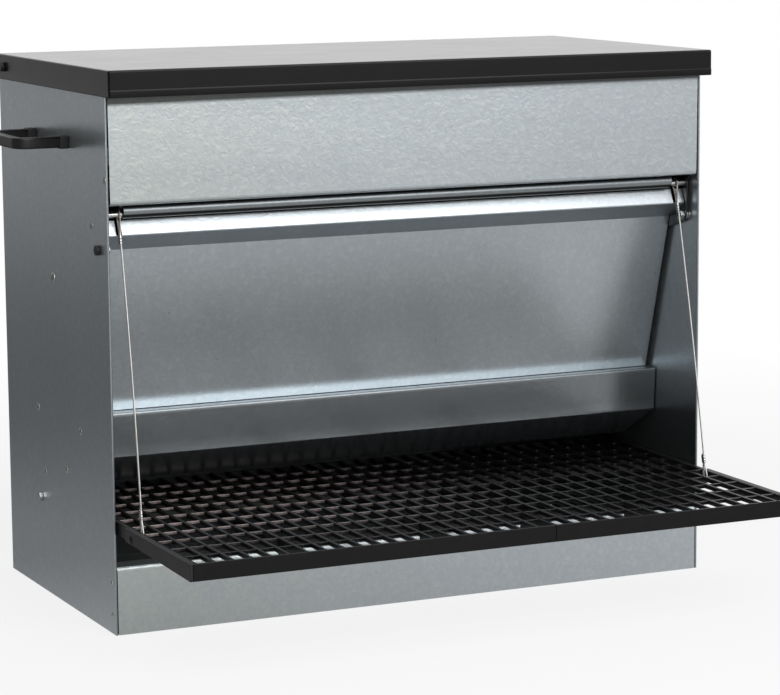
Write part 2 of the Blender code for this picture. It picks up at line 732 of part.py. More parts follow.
def make_flap():
    """The flap: a sheet rolled round a rod along its top, with an ear plate at each end."""
    axis = pivot("flap_axis", FLAP_PIVOT_Y, FLAP_PIVOT_Z)
    rod_centre = Vector((ROD_Y, ROD_Z))
    brow = Vector((BROW_Y, BROW_Z))
    toward = brow - rod_centre
    leave = math.atan2(toward.y, toward.x) + math.acos(ROLL_RADIUS / toward.length)
    roll = []
    for step in range(ROLL_STEPS + 1):
        angle = leave + ROLL_SWEEP * (1 - step / ROLL_STEPS)
        roll.append(rod_centre + ROLL_RADIUS * Vector((math.cos(angle), math.sin(angle))))
    knee = Vector((KNEE_Y, KNEE_Z))
    foot = Vector((FLAP_FOOT_Y, LEDGE_Z + SHEET + GAP))
    corners = [roll[-1], brow, Vector((NOSE_Y, NOSE_Z)), knee, foot]
    length = (foot - knee).length
    flap = folded_sheet(
        "flap_panel", "galvanised", corners, FLAP_HALF,
        tabs=[(3, TAB_END, length - TAB_END, FLAP_TAB, TAB_END)],
        parent=axis, roll=roll[:-1],
    )
    room = ROLL_RADIUS + 2 * SHEET
    notches = []
    slots = []
    for word, side in SIDES.items():
        rope = side * (HALF_WIDTH - ROPE_TOP_DEPTH[word])
        near, far = sorted((side * (HALF_WIDTH - ROD_BARE_END), side * HALF_WIDTH))
        for cuts, left, right, bottom in (
            (notches, near, far, BROW_Z + SHEET),
            (slots, rope - ROPE_SLOT_WIDTH / 2, rope + ROPE_SLOT_WIDTH / 2, BROW_Z - ROPE_SLOT_DROP),
        ):
            low = world(left, ROD_Y - room, bottom)
            high = world(right, ROD_Y + 2 * room, ROD_Z + room)
            cuts.append((low, high))
    boolean(flap, add_helper("flap_notches", box_mesh("flap_notches", notches)), "DIFFERENCE")
    boolean(flap, add_helper("flap_slots", box_mesh("flap_slots", slots)), "DIFFERENCE")

    rod_half = HALF_WIDTH - EAR_DEPTH + SHEET
    rod = rod_mesh("flap_rod", [(world(0, ROD_Y, ROD_Z), 2 * rod_half, ROD_RADIUS)])
    add_part("flap_rod", rod, "bright_steel", axis)

    pivot_point = Vector((FLAP_PIVOT_Y, FLAP_PIVOT_Z))
    tail = knee + (foot - knee).normalized() * EAR_REACH
    for word, side in SIDES.items():
        outlines = [
            round_hull([rod_centre, pivot_point, tail], EAR_MARGIN),
            circle(rod_centre, ROD_RADIUS + GAP),
            circle(pivot_point, HOLE),
        ]
        side_plate("flap_ear_" + word, "galvanised", outlines, side, EAR_DEPTH, EAR_THICKNESS, axis)
        bush = [circle(pivot_point, HOLE + BUSH_WALL), circle(pivot_point, HOLE)]
        bush_depth = SHEET + GAP
        bush_length = EAR_DEPTH - GAP - bush_depth
        side_plate("flap_bush_" + word, "bright_steel", bush, side, bush_depth, bush_length)
        nut_depth = FLAP_DEPTH
        length = GAP + nut_depth + NUT_HEIGHT + BOLT_PAST_NUT
        hex_bolt("flap_bolt_" + word, "bright_steel", FLAP_PIVOT_Y, FLAP_PIVOT_Z, side, GAP, length)
        nut("flap_nut_" + word, FLAP_PIVOT_Y, FLAP_PIVOT_Z, side, nut_depth)


def grating(name, x_low, x_high, cells, outer_low, outer_high, axis):
    """A moulded grating panel between two x, with deep rims at the front and rear and ribs along it."""
    pitch = (x_high - x_low) / cells
    inset = GAP
    front = TREADLE_FRONT + inset
    rear = TREADLE_FRONT + RIM_THICKNESS + CELL_ROWS * ROW_PITCH

    def edges(low, high, count, step, bar):
        """The edges of the bars, on lines one step apart."""
        places = [low]
        for index in range(count + 1):
            line = min(max(low + index * step, low), high)
            places += [line - bar / 2] * (index > 0) + [line + bar / 2] * (index < count)
        return places + [high]

    xs = edges(x_low, x_high, cells, pitch, LONG_BAR)
    ys = edges(front, rear, CELL_ROWS, (rear - front) / CELL_ROWS, CROSS_BAR)
    shape = bmesh.new()
    points = [[shape.verts.new(world(x, y, TREADLE_TOP)) for x in xs] for y in ys]
    for row in range(len(ys) - 1):
        for column in range(len(xs) - 1):
            if row % 2 == 1 and column % 2 == 1:
                continue
            low, high = points[row], points[row + 1]
            shape.faces.new((low[column], low[column + 1], high[column + 1], high[column]))
    mesh = bpy.data.meshes.new(name)
    shape.to_mesh(mesh)
    shape.free()
    panel = add_part(name, mesh, "black_plastic", axis)
    solid = panel.modifiers.new("bar height", "SOLIDIFY")
    solid.thickness = BAR_HEIGHT
    solid.offset = -1

    low_z = TREADLE_TOP - TREADLE_RIM
    bar_z = TREADLE_TOP - BAR_HEIGHT + BAR_SINK
    rim_z = TREADLE_TOP - inset
    boxes = [
        (world(outer_low, TREADLE_FRONT, low_z), world(outer_high, TREADLE_FRONT + RIM_THICKNESS, rim_z)),
        (world(x_low + inset, rear - RIM_THICKNESS, low_z), world(x_high - inset, rear + inset, rim_z)),
    ]
    breaks = [TREADLE_FRONT + RIM_THICKNESS]
    for place in RAIL_PLACES.values():
        breaks += [place - RAIL_DEPTH / 2, place + RAIL_DEPTH / 2]
    breaks.append(rear - RIM_THICKNESS)
    ribs = [x_low + line * pitch for line in RIB_LINES if line < cells]
    if x_low == outer_low:
        ribs.append(x_low + inset + RIB_THICKNESS / 2)
    else:
        ribs.append(x_high - inset - RIB_THICKNESS / 2)
    for rib in ribs:
        low, high = rib - RIB_THICKNESS / 2, rib + RIB_THICKNESS / 2
        for start, end in zip(breaks[::2], breaks[1::2]):
            boxes.append((world(low, start + inset, low_z), world(high, end - inset, bar_z)))
    boolean(panel, add_helper(name + "_ribs", box_mesh(name + "_ribs", boxes)), "UNION")


def make_treadle():
    """The treadle: two arms on the rear pivots, side bars, cross rails and two grating panels."""
    axis = pivot("treadle_axis", TREADLE_PIVOT_Y, TREADLE_PIVOT_Z)
    bottom = TREADLE_TOP - TREADLE_RIM
    anchor = Vector((ANCHOR_Y, ANCHOR_Z))
    anchor_hole = circle(anchor, ANCHOR_RADIUS + GAP)
    eye = Vector((TREADLE_PIVOT_Y, TREADLE_PIVOT_Z))
    arm_front = TREADLE_FRONT + RIM_THICKNESS + GAP
    grating_half = HALF_WIDTH - GRATING_DEPTH
    for word, side in SIDES.items():
        bar = rectangle((TREADLE_FRONT, bottom), (SIDE_BAR_END, TREADLE_TOP))
        side_plate(
            "treadle_side_bar_" + word, "dark_steel", [bar, anchor_hole],
            side, TREADLE_SIDE_GAP, BAR_THICKNESS, axis,
        )
        arm = [
            (arm_front, bottom),
            (eye.x - ARM_EYE - ARM_NECK, bottom),
            (eye.x - ARM_EYE, eye.y - ARM_EYE),
            (eye.x + ARM_EYE, eye.y - ARM_EYE),
            (eye.x + ARM_EYE, TREADLE_TOP),
            (arm_front, TREADLE_TOP),
        ]
        side_plate(
            "treadle_arm_" + word, "dark_steel",
            [rounded(arm, ARM_EYE / 2), anchor_hole, circle(eye, HOLE)],
            side, ARM_DEPTH, BAR_THICKNESS, axis,
        )
        nut_depth = ARM_DEPTH + BAR_THICKNESS + GAP
        length = GAP + nut_depth + NUT_HEIGHT + BOLT_PAST_NUT
        hex_bolt("treadle_bolt_" + word, "bright_steel", eye.x, eye.y, side, GAP, length)
        nut("treadle_nut_" + word, eye.x, eye.y, side, nut_depth)
        head = -TREADLE_SIDE_GAP + GAP
        pin = [
            (0, head + RIVET_HEAD),
            (CROWN_WIDTH * SCREW_HEAD_RADIUS, head + CROWN_HEIGHT * RIVET_HEAD),
            (SCREW_HEAD_RADIUS, head),
            (ANCHOR_RADIUS, head),
            (ANCHOR_RADIUS, -ROPE_DEPTH - ANCHOR_PAST_ROPE),
            (0, -ROPE_DEPTH - ANCHOR_PAST_ROPE),
        ]
        turned("rope_anchor_" + word, "bright_steel", pin, ANCHOR_Y, ANCHOR_Z, side, 12, axis)
    rail_top = TREADLE_TOP - BAR_HEIGHT - GAP
    for word, place in RAIL_PLACES.items():
        half, wall = RAIL_DEPTH / 2, RAIL_WALL
        tube = [
            rectangle((place - half, bottom), (place + half, rail_top)),
            rectangle((place - half + wall, bottom + wall), (place + half - wall, rail_top - wall)),
        ]
        upright_plate("treadle_rail_" + word, "dark_steel", tube, 0, 2 * grating_half, axis)
    seam = SEAM_FROM_LEFT - HALF_WIDTH
    outer = HALF_WIDTH - ARM_DEPTH
    grating("grating_left", -grating_half, seam - GAP / 2, LEFT_CELLS, -outer, seam - GAP / 2, axis)
    grating("grating_right", seam + GAP / 2, grating_half, RIGHT_CELLS, seam + GAP / 2, outer, axis)


def make_ropes():
    """The two steel ropes, looped round the flap's rod and the treadle's anchor pins."""
    half_spacing = STRAND_SPACING / 2
    anchor_loop = ANCHOR_RADIUS + ANCHOR_LOOP_PLAY + ROPE_RADIUS
    rod_loop = ROD_RADIUS + ROD_LOOP_PLAY + ROPE_RADIUS

    def loop(radius):
        """Half of a drawn-up loop: its tangent angle, then points from there round its far side."""
        reach = math.hypot(FERRULE_DISTANCE, half_spacing)
        start = math.atan2(half_spacing, FERRULE_DISTANCE) + math.acos(radius / reach)
        turn = 2 * (math.pi - start)
        angles = [start + turn * step / (LOOP_POINTS - 1) for step in range(LOOP_POINTS)]
        return [(radius * math.cos(angle), radius * math.sin(angle)) for angle in angles]

    ferrule_end = FERRULE_DISTANCE + FERRULE_LENGTH
    for word, side in SIDES.items():
        x = side * (HALF_WIDTH - ROPE_DEPTH)
        low = world(x, ANCHOR_Y, ANCHOR_Z)
        high = world(side * (HALF_WIDTH - ROPE_TOP_DEPTH[word]), ROD_Y, ROD_Z)
        span = (high - low).length
        along = (high - low) / span
        across = along.cross(Vector((1, 0, 0))).normalized()
        route = [(ferrule_end + ROPE_TAIL, half_spacing), (FERRULE_DISTANCE, half_spacing)]
        route += loop(anchor_loop)
        route.append((FERRULE_DISTANCE, -half_spacing))
        route.append((span - FERRULE_DISTANCE, -half_spacing))
        route += [(span - u, v) for u, v in reversed(loop(rod_loop))]
        route.append((span - FERRULE_DISTANCE, half_spacing))
        route.append((span - ferrule_end - ROPE_TAIL, half_spacing))

        axis = pivot("rope_axis_" + word, ANCHOR_Y, ANCHOR_Z, x)
        curve = bpy.data.curves.new("rope_" + word, "CURVE")
        curve.dimensions = "3D"
        curve.bevel_depth = ROPE_RADIUS
        curve.bevel_resolution = 2
        curve.use_fill_caps = True
        spline = curve.splines.new("POLY")
        spline.points.add(len(route) - 1)
        for point, (u, v) in zip(spline.points, route):
            point.co = (*(low + along * u + across * v), 1)
        add_part("rope_" + word, solid_from_curve(curve, Matrix()), "bright_steel", axis)
        for end, start in (("lower", FERRULE_DISTANCE), ("upper", span - ferrule_end)):
            middle = low + along * (start + FERRULE_LENGTH / 2)
            place = Matrix((across, along.cross(across), along)).transposed().to_4x4()
            place.translation = middle
            bore = ROPE_RADIUS + GAP
            ends = [Vector((half_spacing, 0)), Vector((-half_spacing, 0))]
            outlines = [round_hull(ends, bore + FERRULE_WALL, 4), round_hull(ends, bore, 4)]
            name = end + "_ferrule_" + word
            add_part(name, plate_mesh(name, outlines, FERRULE_LENGTH, place), "bright_steel", axis)


def make_rivets():
    """The rivets that hold the chute and the trough."""
    for name, place in rivet_places.items():
        for word, side in SIDES.items():
            rivet(name + "_" + word, place.x, place.y, side)


make_walls()
make_panels()
make_hopper()
make_trough()
make_lid()
make_handles()
make_flap()
make_treadle()
make_ropes()
make_rivets()
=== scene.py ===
"""The hopper feeder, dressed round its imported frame: galvanised case, black lid and grating treadle."""

import math

import bmesh
import bpy
from mathutils import Matrix, Vector


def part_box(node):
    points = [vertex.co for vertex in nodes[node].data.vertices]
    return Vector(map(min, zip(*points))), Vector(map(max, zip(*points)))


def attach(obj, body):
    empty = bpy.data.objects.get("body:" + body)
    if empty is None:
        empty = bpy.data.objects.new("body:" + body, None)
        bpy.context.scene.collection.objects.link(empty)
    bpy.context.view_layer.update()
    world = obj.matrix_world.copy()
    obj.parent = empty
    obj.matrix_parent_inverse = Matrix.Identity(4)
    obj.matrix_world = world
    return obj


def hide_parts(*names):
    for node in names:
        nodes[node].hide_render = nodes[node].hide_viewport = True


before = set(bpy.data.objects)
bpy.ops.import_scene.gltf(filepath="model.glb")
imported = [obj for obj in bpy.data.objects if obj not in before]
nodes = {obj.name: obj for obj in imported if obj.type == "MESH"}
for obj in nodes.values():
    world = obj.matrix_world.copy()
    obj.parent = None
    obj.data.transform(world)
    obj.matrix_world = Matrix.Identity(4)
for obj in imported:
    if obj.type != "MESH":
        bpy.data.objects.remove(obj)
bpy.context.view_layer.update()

# Camera: a long lens a little above the lid, looking past the left wall at the open front.
# Its place and angles were solved from the straight edges of the case.
CAMERA_PLACE = Vector((-1.35892, -3.05822, 0.77328))
CAMERA_YAW = math.radians(24.710)
CAMERA_PITCH = math.radians(8.805)
CAMERA_ROLL = math.radians(-0.4647)
CAMERA_LENS = 137.98
SENSOR_WIDTH = 36
VIEW_LIMIT = 100
level_right = Vector((math.cos(CAMERA_YAW), -math.sin(CAMERA_YAW), 0))
level = math.cos(CAMERA_PITCH)
forward = Vector((math.sin(CAMERA_YAW) * level, math.cos(CAMERA_YAW) * level, -math.sin(CAMERA_PITCH)))
level_down = forward.cross(level_right)
right = level_right * math.cos(CAMERA_ROLL) - level_down * math.sin(CAMERA_ROLL)
down = level_right * math.sin(CAMERA_ROLL) + level_down * math.cos(CAMERA_ROLL)
camera_data = bpy.data.cameras.new("camera")
camera_data.lens = CAMERA_LENS
camera_data.sensor_width = SENSOR_WIDTH
camera_data.clip_end = VIEW_LIMIT
camera = bpy.data.objects.new("camera", camera_data)
bpy.context.scene.collection.objects.link(camera)
turned = Matrix((right, -down, -forward)).transposed().to_4x4()
camera.matrix_world = Matrix.Translation(CAMERA_PLACE) @ turned
bpy.context.scene.camera = camera
bpy.context.scene.view_settings.view_transform = "Standard"


# Studio: a pale floor that runs out into a white background, and one large soft box overhead in front.
# The left wall mirrors the dim side of the room at the back left, and the front mirrors the bright side.
MM = 0.001
FLOOR_SIZE = 8.0
FLOOR_CELLS = 8
FLOOR_DROP = 0.3 * MM
FLOOR_COLOUR = (0.86, 0.86, 0.87, 1)
WHITE = (1, 1, 1, 1)
FADE_START = 0.62
FADE_LENGTH = 1.1
NEAR_WHITE = 0.82
DIM_SIDE = 0.12
BRIGHT_NEAR = 0.64
BRIGHT_FAR = 0.34
BRIGHT_FALL = 3.0
FRONTWARD = {"slant": 0.6, "start": 0.45}
SKY_BRIGHT = 1.15
SKY_RISE = {"start": 0.45, "width": 0.7}
AMBIENT = 0.28
NEAR_GLOW = 0.13
NEAR_END = 1.2
FAR_GLOW = 0.32
FAR_START = 2.4
FAR_LENGTH = 3.6
LAMP_PLACE = Vector((0.0, -1.5, 1.65))
LAMP_TARGET = Vector((0.0, 0.0, 0.45))
LAMP_SIZE = (2.4, 2.46)
LAMP_WATTS = 38.0


class Wired:
    """An output of a material's nodes. Arithmetic on it adds Math nodes."""

    def __init__(self, finish, socket):
        self.finish = finish
        self.socket = socket

    def math(self, operation, *values):
        """A Math node on these values."""
        return self.finish.node("Math", {"operation": operation}, dict(enumerate(values)))

    def __add__(self, other):
        return self.math("ADD", self, other)

    def __sub__(self, other):
        return self.math("SUBTRACT", self, other)

    def __rsub__(self, other):
        return self.math("SUBTRACT", other, self)

    def __mul__(self, other):
        return self.math("MULTIPLY", self, other)

    def __truediv__(self, other):
        return self.math("DIVIDE", self, other)

    __radd__ = __add__
    __rmul__ = __mul__

    def limited(self):
        """The value kept between 0 and 1."""
        return self.math("MAXIMUM", self.math("MINIMUM", self, 1.0), 0.0)

    def absolute(self):
        """The value without its sign."""
        return self.math("ABSOLUTE", self)

    def fraction(self):
        """What follows the whole number in the value."""
        return self.math("FRACT", self)


class Finish:
    """A material and its nodes, or those of the world."""

    def __init__(self, name, owner=None, **constants):
        self.owner = owner or bpy.data.materials.new(name)
        self.owner.use_nodes = True
        self.tree = self.owner.node_tree
        self.shader = self.tree.nodes.get("Principled BSDF")
        for socket, value in constants.items():
            self.shader.inputs[socket.replace("_", " ")].default_value = value

    def put(self, socket, value):
        """Sets a socket to a value, or links it."""
        if isinstance(value, Wired):
            self.tree.links.new(value.socket, socket)
        else:
            socket.default_value = value

    def node(self, kind, settings=None, inputs=None, output=0):
        """Adds a node: its settings first, then the values or links of its sockets."""
        made = self.tree.nodes.new("ShaderNode" + kind)
        for name, value in (settings or {}).items():
            setattr(made, name, value)
        for name, value in (inputs or {}).items():
            self.put(made.inputs[name], value)
        return Wired(self, made.outputs[output])

    def place(self):
        """The point on the piece, in metres."""
        return self.node("TexCoord", output="Object")

    def axis(self, letter):
        """One coordinate of the point on the piece, in metres."""
        return self.node("SeparateXYZ", {}, {0: self.place()}, output=letter)

    def stretched(self, scale):
        """The point with its axes scaled, for streaks and grain."""
        return self.node("Mapping", {}, {"Vector": self.place(), "Scale": scale})

    def noise(self, scale, detail, roughness=0.55, vector=None):
        """Soft cloudy noise from 0 to 1, over the points on the piece or another vector."""
        inputs = {"Vector": vector or self.place(), "Scale": scale, "Detail": detail, "Roughness": roughness}
        return self.node("TexNoise", {}, inputs)

    def marks(self, start, gain, *noise):
        """Separate marks, from 0 to 1, where noise rises past a start."""
        return ((self.noise(*noise) - start) * gain).limited()

    def blend(self, share, first, second):
        """A mix of two colours."""
        return self.node("Mix", {"data_type": "RGBA"}, {0: share, 6: first, 7: second}, output=2)

    def bump(self, height, strength, distance):
        """Relief from a height."""
        return self.node("Bump", {}, {"Height": height, "Strength": strength, "Distance": distance})

    def grain(self, scale, strength, depth):
        """Relief from fine noise."""
        return self.bump(self.noise(scale, 2), strength, depth)

    def surface(self, **sockets):
        """Feeds the shader's sockets."""
        for name, value in sockets.items():
            self.put(self.shader.inputs[name.replace("_", " ")], value)


def finished(name, shape):
    """The mesh of a shape, whose memory is freed."""
    mesh = bpy.data.meshes.new(name)
    shape.to_mesh(mesh)
    shape.free()
    return mesh


shape = bmesh.new()
bmesh.ops.create_grid(shape, x_segments=FLOOR_CELLS, y_segments=FLOOR_CELLS, size=FLOOR_SIZE)
floor = bpy.data.objects.new("floor", finished("floor", shape))
floor.location.z = -FLOOR_DROP
bpy.context.scene.collection.objects.link(floor)

paper = Finish("floor_paper", Base_Color=FLOOR_COLOUR, Roughness=0.7)
reach = paper.node("VectorMath", {"operation": "LENGTH"}, {0: paper.place()}, output="Value")
away = ((reach - FADE_START) / FADE_LENGTH).limited()
seen = paper.node("LightPath", output="Is Camera Ray")
mirrored = paper.node("LightPath", output="Is Glossy Ray")
frontward = (paper.axis("X") * FRONTWARD["slant"] - paper.axis("Y") + FRONTWARD["start"]).limited()
front_glow = BRIGHT_NEAR - ((reach - FADE_START) / BRIGHT_FALL).limited() * (BRIGHT_NEAR - BRIGHT_FAR)
near_glow = ((NEAR_END - reach) / (NEAR_END - FADE_START)).limited() * NEAR_GLOW
far_glow = ((reach - FAR_START) / FAR_LENGTH).limited() * FAR_GLOW
mirror_floor = frontward * front_glow + (1 - frontward) * (near_glow + far_glow + DIM_SIDE)
glow = paper.node("Emission", {}, {"Color": WHITE, "Strength": seen + mirrored * mirror_floor})
share = (NEAR_WHITE + away * (1 - NEAR_WHITE)) * seen + mirrored
paper_shader = Wired(paper, paper.shader.outputs[0])
mixed = paper.node("MixShader", {}, {0: share, 1: paper_shader, 2: glow})
paper.put(paper.tree.nodes["Material Output"].inputs["Surface"], mixed)
floor.data.materials.append(paper.owner)

world = bpy.data.worlds.new("studio")
bpy.context.scene.world = world
room = Finish("studio", owner=world)
direction = room.node("TexCoord", output="Generated")
sideways = room.node("SeparateXYZ", {}, {0: direction}, output="X")
rise = ((sideways + SKY_RISE["start"]) / SKY_RISE["width"]).limited()
mirror_light = rise * (SKY_BRIGHT - DIM_SIDE) + DIM_SIDE
camera_ray = room.node("LightPath", output="Is Camera Ray")
mirror_ray = room.node("LightPath", output="Is Glossy Ray")
other_light = mirror_light * mirror_ray + AMBIENT * (1 - mirror_ray)
background = room.tree.nodes["Background"]
background.inputs["Color"].default_value = WHITE
room.put(background.inputs["Strength"], camera_ray + (1 - camera_ray) * other_light)

lamp = bpy.data.lights.new("front_box", "AREA")
lamp.shape = "RECTANGLE"
lamp.size, lamp.size_y = LAMP_SIZE
lamp.energy = LAMP_WATTS
holder = bpy.data.objects.new("front_box", lamp)
holder.location = LAMP_PLACE
holder.rotation_euler = (LAMP_TARGET - LAMP_PLACE).to_track_quat("-Z", "Y").to_euler()
bpy.context.scene.collection.objects.link(holder)


# Side walls: galvanised sheet 1 mm thick, cut flat, with a hem folded inwards down the front edge.
# The zinc shows a fine mottled spangle, faint streaks from the rolls and a few dull stains.
SIDES = {"left": -1, "right": 1}
ZINC_LIGHT = (0.60, 0.645, 0.67, 1)
ZINC_DARK = (0.48, 0.525, 0.555, 1)
ZINC_LEFT_TINT = (0.57, 0.61, 0.54, 1)
ZINC_STAIN = (0.30, 0.33, 0.35, 1)
# The near-black that the masks blend in: painted shade on most pieces, real grime in the trough's end
# joints.
ZINC_SOIL_AND_SHADE = (0.030, 0.030, 0.028, 1)
ZINC_METALLIC = 0.88
SCALES = {
    "drift": 120, "spangle": 230, "mottle": 140, "streaks": 46, "clouds": 6, "ripple": 125, "stains": 22,
    "buckles": 5,
}
DRIFT = 0.010
RIPPLE_GAIN = 5
SHADE = {"spangle": 0.2, "worms": 0.45, "mottle": 0.3, "streaks": 0.25, "clouds": 0.3, "offset": 0.28}
TINT = {"end": 0.1, "width": 0.4}
STAINS = {"start": 0.66, "gain": 5, "share": 0.15}
RELIEF = {"spangle": 0.10, "mottle": 0.35, "worms": 0.5, "buckles": 8, "strength": 0.3, "depth": 0.3 * MM}
DULLNESS = {"base": 0.23, "mottle": 0.07, "streaks": 0.06, "stains": 0.2}
UPRIGHT_GRAIN = (1, 1, 0.05)
ACROSS_GRAIN = (0.05, 1, 1)
HEM_WIDTH = 2.4 * MM
HEM_DEPTH = 1.2 * MM
HEM_PROUD = 0.1 * MM
HEM_SHORT = 1 * MM
HEM_STEPS = 8
HEM_SHADE = 0.45
# Painted shade on the walls' inner faces: stronger below the top height, lighter above it.
WALL_SHADE = {"top": 0.225, "fade": 0.05, "low": 0.55, "high": 0.18, "depth": 0.5 * MM}
SHARP_FADE = 0.1 * MM
WELD_REACH = 0.005 * MM
EDGE_SEGMENTS = 2
EDGE_ANGLE = math.radians(35)
wall_low, wall_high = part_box("side_panel_right")
WALL = wall_high.x
FRONT = wall_low.y
CASE_TOP = wall_high.z


def zinc(name, grain, sharpness=0.0, soil_and_shade=None, tinted=0.0):
    """Galvanised sheet: mottled spangle, rolling streaks along the grain and small stains."""
    finish = Finish(name, Metallic=ZINC_METALLIC)
    point = finish.place()
    drift = finish.node("TexNoise", {}, {"Vector": point, "Scale": SCALES["drift"], "Detail": 2}, output=1)
    shifted = finish.blend(DRIFT, point, drift)
    cells = finish.node("TexVoronoi", {}, {"Vector": shifted, "Scale": SCALES["spangle"]}, output="Color")
    spangle = finish.node("SeparateColor", {}, {0: cells})
    mottle = finish.noise(SCALES["mottle"], 3)
    streaks = finish.noise(SCALES["streaks"], 3, vector=finish.stretched(grain))
    clouds = finish.noise(SCALES["clouds"], 3)
    ripple = finish.noise(SCALES["ripple"], 1.5, vector=shifted)
    worms = ((ripple - 0.5).absolute() * RIPPLE_GAIN).limited()
    shade = spangle * SHADE["spangle"] + worms * SHADE["worms"] + mottle * SHADE["mottle"]
    shade = (shade + streaks * SHADE["streaks"] + clouds * SHADE["clouds"] - SHADE["offset"]).limited()
    colour = finish.blend(shade, ZINC_DARK, ZINC_LIGHT)
    if tinted:
        left = ((TINT["end"] - finish.axis("X")) / TINT["width"]).limited() * tinted
        colour = finish.blend(left * shade, colour, ZINC_LEFT_TINT)
    stains = finish.marks(STAINS["start"], STAINS["gain"], SCALES["stains"], 4, 0.6) * STAINS["share"]
    colour = finish.blend(stains, colour, ZINC_STAIN)
    # The mask darkens towards near-black: painted shade on most pieces, grime in the trough's end joints.
    if soil_and_shade:
        colour = finish.blend(soil_and_shade(finish), colour, ZINC_SOIL_AND_SHADE)
    height = spangle * RELIEF["spangle"] + mottle * RELIEF["mottle"] + worms * RELIEF["worms"]
    height = height + finish.noise(SCALES["buckles"], 1) * RELIEF["buckles"]
    dullness = DULLNESS["base"] - sharpness + mottle * DULLNESS["mottle"]
    dullness = dullness + streaks * DULLNESS["streaks"] + stains * DULLNESS["stains"]
    finish.surface(
        Base_Color=colour,
        Roughness=dullness.limited(),
        Normal=finish.bump(height, RELIEF["strength"], RELIEF["depth"]),
    )
    return finish.owner


def dressed(piece, material, edge=0.25 * MM):
    """Gives a piece its material, rounds its edges and shades it smooth."""
    piece.data.materials.clear()
    piece.data.materials.append(material)
    if edge:
        weld = piece.modifiers.new("weld", "WELD")
        weld.merge_threshold = WELD_REACH
        bevel = piece.modifiers.new("edges", "BEVEL")
        bevel.width = edge
        bevel.segments = EDGE_SEGMENTS
        bevel.limit_method = "ANGLE"
        bevel.angle_limit = EDGE_ANGLE
    if piece.type == "MESH":
        piece.data.shade_smooth()
        normals = piece.modifiers.new("normals", "WEIGHTED_NORMAL")
        normals.keep_sharp = True
    return piece


def added(name, mesh, body, replaced=()):
    """Links a new piece, which rides on a body and may stand for nodes of the frame."""
    piece = bpy.data.objects.new(name, mesh)
    bpy.context.scene.collection.objects.link(piece)
    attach(piece, body)
    if replaced:
        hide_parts(*replaced)
    return piece


def skinned(shape, rings):
    """Faces between closed rings of points, and over both ends."""
    for first, second in zip(rings, rings[1:]):
        for index in range(len(first)):
            after = (index + 1) % len(first)
            shape.faces.new((first[index], first[after], second[after], second[index]))
    shape.faces.new(rings[0][::-1])
    shape.faces.new(rings[-1])
    bmesh.ops.recalc_face_normals(shape, faces=shape.faces)


def solid(name, outline, low, high, place):
    """A solid between two depths from a closed outline. place turns (u, v, depth) into a point."""
    shape = bmesh.new()
    skinned(shape, [[shape.verts.new(place(u, v, depth)) for u, v in outline] for depth in (low, high)])
    return finished(name, shape)


def arc(centre, radius, start, end, steps):
    """Points on an arc, its angles in degrees."""
    angles = [math.radians(start + (end - start) * step / steps) for step in range(steps + 1)]
    return [(centre[0] + radius * math.cos(a), centre[1] + radius * math.sin(a)) for a in angles]


def painted_wall_shade(finish):
    """Painted shade on the walls' inner faces, darkest low down behind the treadle."""
    depth = WALL - WALL_SHADE["depth"] - finish.axis("X").absolute()
    low = ((WALL_SHADE["top"] - finish.axis("Z")) / WALL_SHADE["fade"]).limited()
    return (depth / SHARP_FADE).limited() * (low * WALL_SHADE["low"] + WALL_SHADE["high"])


wall_zinc = zinc("zinc_walls", UPRIGHT_GRAIN, soil_and_shade=painted_wall_shade)
# Painted shade: the hems are darkened by a fixed share towards near-black.
hem_zinc = zinc("zinc_hems", UPRIGHT_GRAIN, soil_and_shade=lambda finish: HEM_SHADE)
for word, side in SIDES.items():
    dressed(nodes["side_panel_" + word], wall_zinc)
    hem = arc((HEM_WIDTH / 2, HEM_DEPTH), HEM_WIDTH / 2, 180, 360, HEM_STEPS)
    mesh = solid(
        "wall_hem_" + word, hem, 0, CASE_TOP - HEM_SHORT,
        lambda inward, depth, z: Vector((side * (WALL - inward), FRONT + depth - HEM_PROUD, z)),
    )
    dressed(added("wall_hem_" + word, mesh, "case"), hem_zinc, edge=0)


# Front panels: two galvanised sheets between the walls, with soft press bends of 4 mm. The upper one turns
# in at its top and its lower edge, the lower one as a ledge. Both stop a few millimetres off the walls.
PANEL_BEND = 4.0 * MM
PANEL_EDGE = {"top": 3.1 * MM, "bottom": 4.2 * MM, "lower": 3.1 * MM}
SHEET = 1.0 * MM
BEND_STEPS = 7
BEND_ROOM = 0.45
LEDGE_HEM = 8 * MM
# A painted shadow under the lid's edge on the front panel: its height, taper, fade and strength.
LID_SHADOW_HEIGHT = 8.5 * MM
LID_SHADOW_TAPER = 0.006
LID_SHADOW_FADE = 3.5 * MM
LID_SHADOW_END = 1 * MM
LID_SHADOW_STRENGTH = 0.9
FRONT_TINT = 0.8


def bent(corners, radius, steps=BEND_STEPS):
    """A section's line with a soft bend in place of each inner corner."""
    corners = [Vector(corner) for corner in corners]
    line = [corners[0]]
    for before, corner, after in zip(corners, corners[1:], corners[2:]):
        into, out = (corner - before).normalized(), (after - corner).normalized()
        turn = math.acos(max(-1, min(1, into.dot(out))))
        room = BEND_ROOM * min((corner - before).length, (after - corner).length)
        reach = min(radius * math.tan(turn / 2), room)
        start, end = corner - into * reach, corner + out * reach
        for step in range(steps + 1):
            share = step / steps
            line.append(start.lerp(corner, share).lerp(corner.lerp(end, share), share))
    return line + [corners[-1]]


def sheet_of(name, line, half_widths):
    """An open sheet along X from its section's line, as wide at each point as half_widths says."""
    shape = bmesh.new()
    rows = []
    for y, z in line:
        half = half_widths(y, z)
        rows.append([shape.verts.new((side * half, FRONT + y, z)) for side in (-1, 1)])
    for (a, b), (c, d) in zip(rows, rows[1:]):
        shape.faces.new((a, b, d, c))
    return finished(name, shape)


